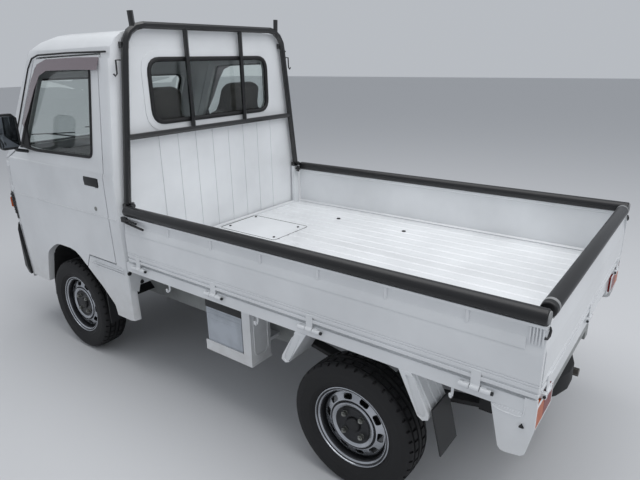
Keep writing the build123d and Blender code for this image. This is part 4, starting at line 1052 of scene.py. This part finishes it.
# %% [markdown]
# The front isn't in the photograph, so it has what such trucks have there and no more:
# black frames round the headlamps and air slots under the screen. Its panel is nearly
# upright, crowned like the windscreen and bent at the bead, and a function gives its place.

# %% Headlamp frames and air slots
NOSE_BEND_X = 264
# how far the panel leans back for each mm of height, below and above the bead
LEAN_BELOW = 55 / 553
LEAN_ABOVE = 32 / 213
SLOT_Z = 1068
SLOT_PITCH = 58


def nose_y(x, z):
    """The front panel's place along the truck below the windscreen."""
    lean = LEAN_BELOW * (BEAD_Z - z) if z < BEAD_Z else LEAN_ABOVE * (z - BEAD_Z)
    return CAB_FRONT + lean + crown(x, NOSE_BEND_X)


LAMP_LINE = rounded([(330, 700), (536, 700), (536, 864), (330, 864)], [12] * 4, 3)
line = [at(x, nose_y(x, z) - 4, z) for x, z in dense(LAMP_LINE, 60)]
pair("headlamp_frame", BLACK, "truck", (sweep, line, 4, True))
bm = bmesh.new()
for k in range(-5, 6):
    x = SLOT_PITCH * k
    y = nose_y(x, SLOT_Z)
    slab(bm, (x - 22, y - 1, SLOT_Z - 4), (x + 22, y + 6, SLOT_Z + 4), 1.5)
piece("cowl_air_slots", bm, BLACK, "truck")
print("front panel at the bead", nose_y(0, BEAD_Z), "mm")

# %% [markdown]
# Two wipers rest low on the screen. Each has a spindle, an arm that steps up onto the
# glass and a blade that follows its crown.

# %% Wipers
WIPERS = (-330, 120)
SPINDLE_Z = 1094
KNEE = (20, 1140)
TIP = (250, 1190)
BLADE_RISE = 0.08
bm = bmesh.new()
for x in WIPERS:
    foot = at(x, nose_y(x, SPINDLE_Z) - 2, SPINDLE_Z)
    knee_x, tip_x = x + KNEE[0], x + TIP[0]
    knee = at(knee_x, screen_y(knee_x, KNEE[1]) - 16, KNEE[1])
    tip = at(tip_x, screen_y(tip_x, TIP[1]) - 12, TIP[1])
    pin(bm, foot + at(0, 8, 0), foot - at(0, 12, 0), 11, 16)
    sweep(bm, [foot - at(0, 8, 0), knee, tip], 4.5)
    blade = [(x + reach, TIP[1] + BLADE_RISE * (reach - TIP[0])) for reach in range(60, 441, 38)]
    sweep(bm, [at(u, screen_y(u, z) - 6, z) for u, z in blade], 3.5)
piece("wipers", bm, BLACK, "truck")
print("wipers", len(WIPERS))

# %% [markdown]
# The gates are pressed too. A ledge runs under the top channel, pins stiffen the channel,
# and a row of short ribs closes its rear end.

# %% Gate ledges, pins and end ribs
PIN_PLACES = (12, 292, 572, 852, 1132, 1412)
PIN_X = 685
PIN_LOW = 866
PIN_HIGH = 908
LEDGE = ((691.8, 856), (691.8, 832), (684, 832), (682, 873))
END_RIBS = [BED_REAR - 46 + 9 * k for k in range(5)]
pins = [(pin, at(PIN_X, y, PIN_LOW), at(PIN_X, y, PIN_HIGH), 6, 10) for y in PIN_PLACES]
pair("gate_pins", ENAMEL, "gate_{tag}", *pins)
profile = [at(x, BED_FRONT + 42, z) for x, z in LEDGE]
ledge = (plate, profile, at(0, BED_REAR - BED_FRONT - 94, 0))
for obj in pair("gate_ledge", ENAMEL, "gate_{tag}", ledge):
    soften(obj, 2, 3)
ribs = [(slab, (682, y, 852), (690.5, y + 5, 907), 1.5) for y in END_RIBS]
pair("gate_end_ribs", ENAMEL, "gate_{tag}", *ribs)
print("gate pins", len(pins), "end ribs", len(ribs))

# %% [markdown]
# Each hinge is rolled from sheet round a pin: two barrels on the bed's frame and, between
# them, an eye that turns with the gate. Black caps close the pins' ends.

# %% Hinges
HINGE_X = 696
# name, body, finish, stretches of the pin from the hinge's middle, radius, sides
HINGE_PARTS = (
    ("hinge_pin_ends", "truck", BLACK, ((50, 58),), 6, 12),
    ("hinge_barrels", "truck", ENAMEL, ((-51, -18), (18, 51)), 9, 16),
    ("hinge_eyes", "gate_{tag}", ENAMEL, ((-15, 15),), 8.4, 16),
)
for name, body, finish, stretches, radius, around in HINGE_PARTS:
    pins = []
    for y in SIDE_HINGES:
        for start, end in stretches:
            ends = (at(HINGE_X, y + start, HINGE_Z), at(HINGE_X, y + end, HINGE_Z))
            pins.append((pin, *ends, radius, around))
    pair(name, finish, body, *pins)
caps = []
for x in TAIL_HINGES:
    for way in (-1, 1):
        ends = (at(x + way * reach, BED_REAR + 3, HINGE_Z) for reach in (34, 39))
        caps.append((pin, *ends, 4.5, 12))
piece("hinge_pin_ends_tail", built(*caps), BLACK, "truck")
print("side hinges", 2 * len(SIDE_HINGES), "tail hinges", len(TAIL_HINGES))

# %% [markdown]
# A hand or a rope uses the small bars along the gates: a drop lever with two prongs at the
# front, a loop at the rear corner, and hooks under the bed's edge for the rope.

# %% Levers, loops and rope hooks
LEVER_BLOCK = ((688, -316, 888), (705, -276, 914))
LEVER_PRONGS = (
    (((700, -306, 908), (702, -270, 903), (701, -200, 896)), 6),
    (((700, -306, 894), (702, -270, 889), (701, -150, 876)), 5.5),
)
LOOP = (
    (664, 1634, 906), (662, 1640, 904), (664, 1643, 896),
    (672, 1643, 884), (682, 1640, 878), (688, 1634, 880),
)
HOOK = ((676, 626), (676, 600), (680, 590), (688, 588), (693, 594), (694, 604))
HOOK_PLACES = (-33, 532, 1380)
prongs = [(sweep, [at(*place) for place in line], radius) for line, radius in LEVER_PRONGS]
pair("drop_lever", BLACK, "gate_{tag}", (slab, *LEVER_BLOCK, 3), *prongs)
pair("corner_loop", BLACK, "gate_{tag}", (sweep, [at(*place) for place in LOOP], 4))
hooks = [(sweep, [at(x, y, z) for x, z in HOOK], 5) for y in HOOK_PLACES]
pair("rope_hooks", ENAMEL, "truck", *hooks)
print("rope hooks", 2 * len(HOOK_PLACES))

# %% [markdown]
# The rear corners carry the lamp clusters. White beads frame the lenses, a rounded line
# is embossed in each corner plate, and a three-sided rubber stop sits below its end.

# %% Rear corners
CLUSTER = rounded([(503, 571), (678, 571), (678, 647), (503, 647)], [8] * 4, 3)
EMBOSSED = ((1512, 618), (1526, 610), (1544, 607), (1588, 607), (1600, 611), (1606, 620), (1607, 648))
STOP = (1604, 580)
frame_line = [at(x, BED_REAR - 2, z) for x, z in CLUSTER]
pair("rear_lamp_frame", ENAMEL, "truck", (sweep, frame_line, 2.5, True))
embossed = [at(BODY_HALF - 2, y, z) for y, z in EMBOSSED]
pair("corner_plate_line", ENAMEL, "truck", (sweep, embossed, 2.2))
pair("corner_stop", RUBBER, "truck", (pin, at(686, *STOP), at(697, *STOP), 11, 3, 7))
print("points round a lamp", len(CLUSTER))

# %% [markdown]
# The bed's floor has a hatch with a rubber seam, and bolts with rubber caps hold it to the
# frame. Two grommets on each side fill holes low in the cab's back.

# %% Hatch seam, floor bolts and grommets
HATCH_LINE = rounded([(-224, -322), (74, -322), (74, 96), (-224, 96)], [22] * 4, 4)
FLOOR_BOLTS = ((20, -293, 8), (-200, -296, 8), (-180, 55, 8), (35, 60, 8), (-448, 154, 13), (-448, 597, 13))
GROMMETS = ((672, 600), (608, 534), (-672, 600), (-608, 534))
seam = [at(x, y, FLOOR_Z) for x, y in HATCH_LINE]
piece("hatch_seam", built((sweep, seam, 1.6, True, 6)), RUBBER, "truck")
bolts = [(pin, at(x, y, FLOOR_Z - 4), at(x, y, FLOOR_Z + 4), r, 16, r * 0.8) for x, y, r in FLOOR_BOLTS]
piece("floor_bolts", built(*bolts), RUBBER, "truck")
grommets = [(pin, at(x, CAB_BACK + 2, z), at(x, CAB_BACK + 8, z), 12, 20, 9) for x, z in GROMMETS]
piece("bracket_grommets", built(*grommets), RUBBER, "truck")
print("floor bolts", len(FLOOR_BOLTS))

# %% [markdown]
# The window guard is bent steel tube in black paint. Wing knobs clamp its feet, and a
# hook for a rope stands out from each post near the top.

# %% Guard fittings
FOOT_X = 645
KNOB = (635, 924)
KNOB_TURNS = (0.3, 1.35, 2.4)
POST_TOP_X = 644 - 0.113 * (1600 - 956)
# the hook's line: distance out from the post, height
GUARD_HOOK = ((10, 1625), (34, 1625), (36, 1566), (46, 1556), (54, 1566))
bm = bmesh.new()
for tag, side in SIDES:
    x = side * (FOOT_X - 6)
    for z in (951, 963):
        pin(bm, at(x, -321, z), at(x, -298, z), 4, 8)
    pin(bm, at(x, -300, 957), at(x, -292, 957), 11, 12)
    knob_x, knob_z = side * KNOB[0], KNOB[1]
    pin(bm, at(knob_x, -322, knob_z), at(knob_x, -300, knob_z), 7, 12)
    middle = at(knob_x, -303, knob_z)
    for turn in KNOB_TURNS:
        reach = at(19 * math.cos(turn), 0, 19 * math.sin(turn))
        pin(bm, middle - reach, middle + reach, 6, 10)
    sweep(bm, [at(side * (POST_TOP_X + out), -334, z) for out, z in GUARD_HOOK], 4)
piece("guard_knobs_and_hooks", bm, PAINTS["black_painted_tube"], "truck")
print("guard hooks", len(SIDES))

# %% [markdown]
# Inner arches of black rubber-coated sheet close the space above the front wheels. Each
# is a line across the arch that is extruded inwards and then given its thickness.

# %% Inner wheel arches
# place along from the axle, height
ARCH = ((-312, 250), (-297, 357), (-275, 440), (-236, 560), (-180, 606), (-110, 634), (90, 634), (190, 585),
        (315, 470), (400, 392))
ARCH_X = 650
ARCH_WIDTH = 225


def arch(bm):
    edges = open_line(bm, [at(ARCH_X, FRONT_AXLE + y, z) for y, z in ARCH])
    edges, verts = extruded(bm, edges)
    bmesh.ops.translate(bm, vec=at(-ARCH_WIDTH, 0, 0), verts=verts)
    give_wall(bm, 3)


pair("inner_arch", PAINTS["underbody_black"], "truck", (arch,))
print("arch points", len(ARCH))

# %% [markdown]
# The battery hangs on the left in its tray: a pale case with two ribs and a label's bare
# place, under a black lid. The tray's end plate has an embossed outline.

# %% Battery
END_LINE = rounded([(540, 380), (626, 380), (626, 580), (540, 580)], [30] * 4)
LID = ((522, 166, 552), (641, 398, 596))
LABEL = ((636, 186, 402), (640.8, 380, 500))
END_PLATE = ((520, 449, 340), (646, 454, 600))
piece("battery_lid", built((slab, *LID, 4)), BLACK, "truck")
ribs = [(slab, (636, 178, z), (641.5, 388, z + 6), 2) for z in (520, 538)]
piece("battery_case_ribs", built(*ribs, (slab, *LABEL, 2)), PAINTS["battery_white_plastic"], "truck")
line = [at(x, 455, z) for x, z in END_LINE]
piece("battery_end_plate", built((slab, *END_PLATE, 2), (sweep, line, 3, True)), ENAMEL, "truck")
print("battery ribs", len(ribs))

# %% [markdown]
# Ribs are pressed down the slopes of the rear mudguards. On the right two plated straps
# hold the fuel tank, and they take their place from its box.

# %% Mudguard ribs and tank straps
RIB_PLACES = (664, 622, 580, -580, -622, -664)
# each rib's upper and lower end: place along from the axle, height
RIB_LINES = (((259, 620), (331, 486)), ((-241, 620), (-313, 494)))
STRAP_SHARES = (0.22, 0.78)
ribs = []
for x in RIB_PLACES:
    for ends in RIB_LINES:
        ribs.append((pin, *[at(x, REAR_AXLE + y, z) for y, z in ends], 4, 8))
piece("mudguard_ribs", built(*ribs), ENAMEL, "truck")
bm = bmesh.new()
low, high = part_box("fuel_tank")
for share in STRAP_SHARES:
    y = (low.y + (high.y - low.y) * share) / MM
    slab(bm, (low.x / MM - 3, y - 16, 345), (low.x / MM + 4, y + 16, 504), 1)
    slab(bm, (low.x / MM - 3, y - 16, 499), (high.x / MM, y + 16, 504), 1)
piece("tank_straps", bm, PAINTS["zinc_plated_steel"], "truck")
print("tank straps", len(STRAP_SHARES))

# %% [markdown]
# The camera stands where the photographer did: behind the truck's left rear corner, at
# eye height, looking down at the bed. A camera looks along its own
# -Z, so the matrix is built from the directions that it sees as right, up and ahead.

# %% Camera
CAMERA_PLACE = Vector((2.0850, 1.9240, 1.6174))
YAW, PITCH, ROLL = (math.radians(a) for a in (232.93, -18.86, -0.98))
LENS = 29.91
ahead = Vector((math.sin(YAW) * math.cos(PITCH), math.cos(YAW) * math.cos(PITCH), math.sin(PITCH)))
level = ahead.cross(Vector((0, 0, 1))).normalized()
above = level.cross(ahead)
right = math.cos(ROLL) * level + math.sin(ROLL) * above
up = -math.sin(ROLL) * level + math.cos(ROLL) * above
camera = bpy.data.objects.new("camera", bpy.data.cameras.new("camera"))
bpy.context.scene.collection.objects.link(camera)
camera.data.lens = LENS
camera.data.sensor_width = 36
camera.data.clip_end = 100
camera.matrix_world = Matrix.Translation(CAMERA_PLACE) @ Matrix((right, up, -ahead)).transposed().to_4x4()
bpy.context.scene.camera = camera
print("camera height", round(CAMERA_PLACE.z, 2), "m")

# %% [markdown]
# A plain pale floor takes the shadow: one wide face in a matt grey, like studio paper.

# %% Floor
bm = bmesh.new()
bmesh.ops.create_grid(bm, x_segments=1, y_segments=1, size=40)
floor = loose_object("floor", bm)
floor.data.materials.append(
    finish_material("pale_floor_paper", Roughness=0.9, Base_Color=linear("#CBCCCE"))[0]
)
print("floor", floor.data.materials[0].name)

# %% [markdown]
# An even world fills the shadows, and a wide soft box overhead stands for the open sky, so
# that ledges and the bed are brighter than the sides, as in the photograph. A weaker one
# behind the truck shapes the back.

# %% Lights
world = bpy.data.worlds.new("studio")
bpy.context.scene.world = world
world.use_nodes = True
background = world.node_tree.nodes["Background"].inputs
background["Color"].default_value = linear("#E6EBF2")
background["Strength"].default_value = 0.6


def soft_box(name, place, target, size, watts):
    """A rectangular area lamp turned to its target."""
    lamp = bpy.data.lights.new(name, "AREA")
    lamp.shape = "RECTANGLE"
    lamp.size, lamp.size_y = size
    lamp.energy = watts
    obj = bpy.data.objects.new(name, lamp)
    obj.location = place
    obj.rotation_euler = (Vector(target) - Vector(place)).to_track_quat("-Z", "Y").to_euler()
    bpy.context.scene.collection.objects.link(obj)
    print(name, watts, "W")


soft_box("sky_light", (0, 0.2, 6.0), (0, 0.1, 0.6), (5, 7), 190)
soft_box("key_light", (0.5, 4.5, 5.5), (0, 0, 0.6), (4, 4), 90)
bpy.context.scene.view_settings.view_transform = "Standard"
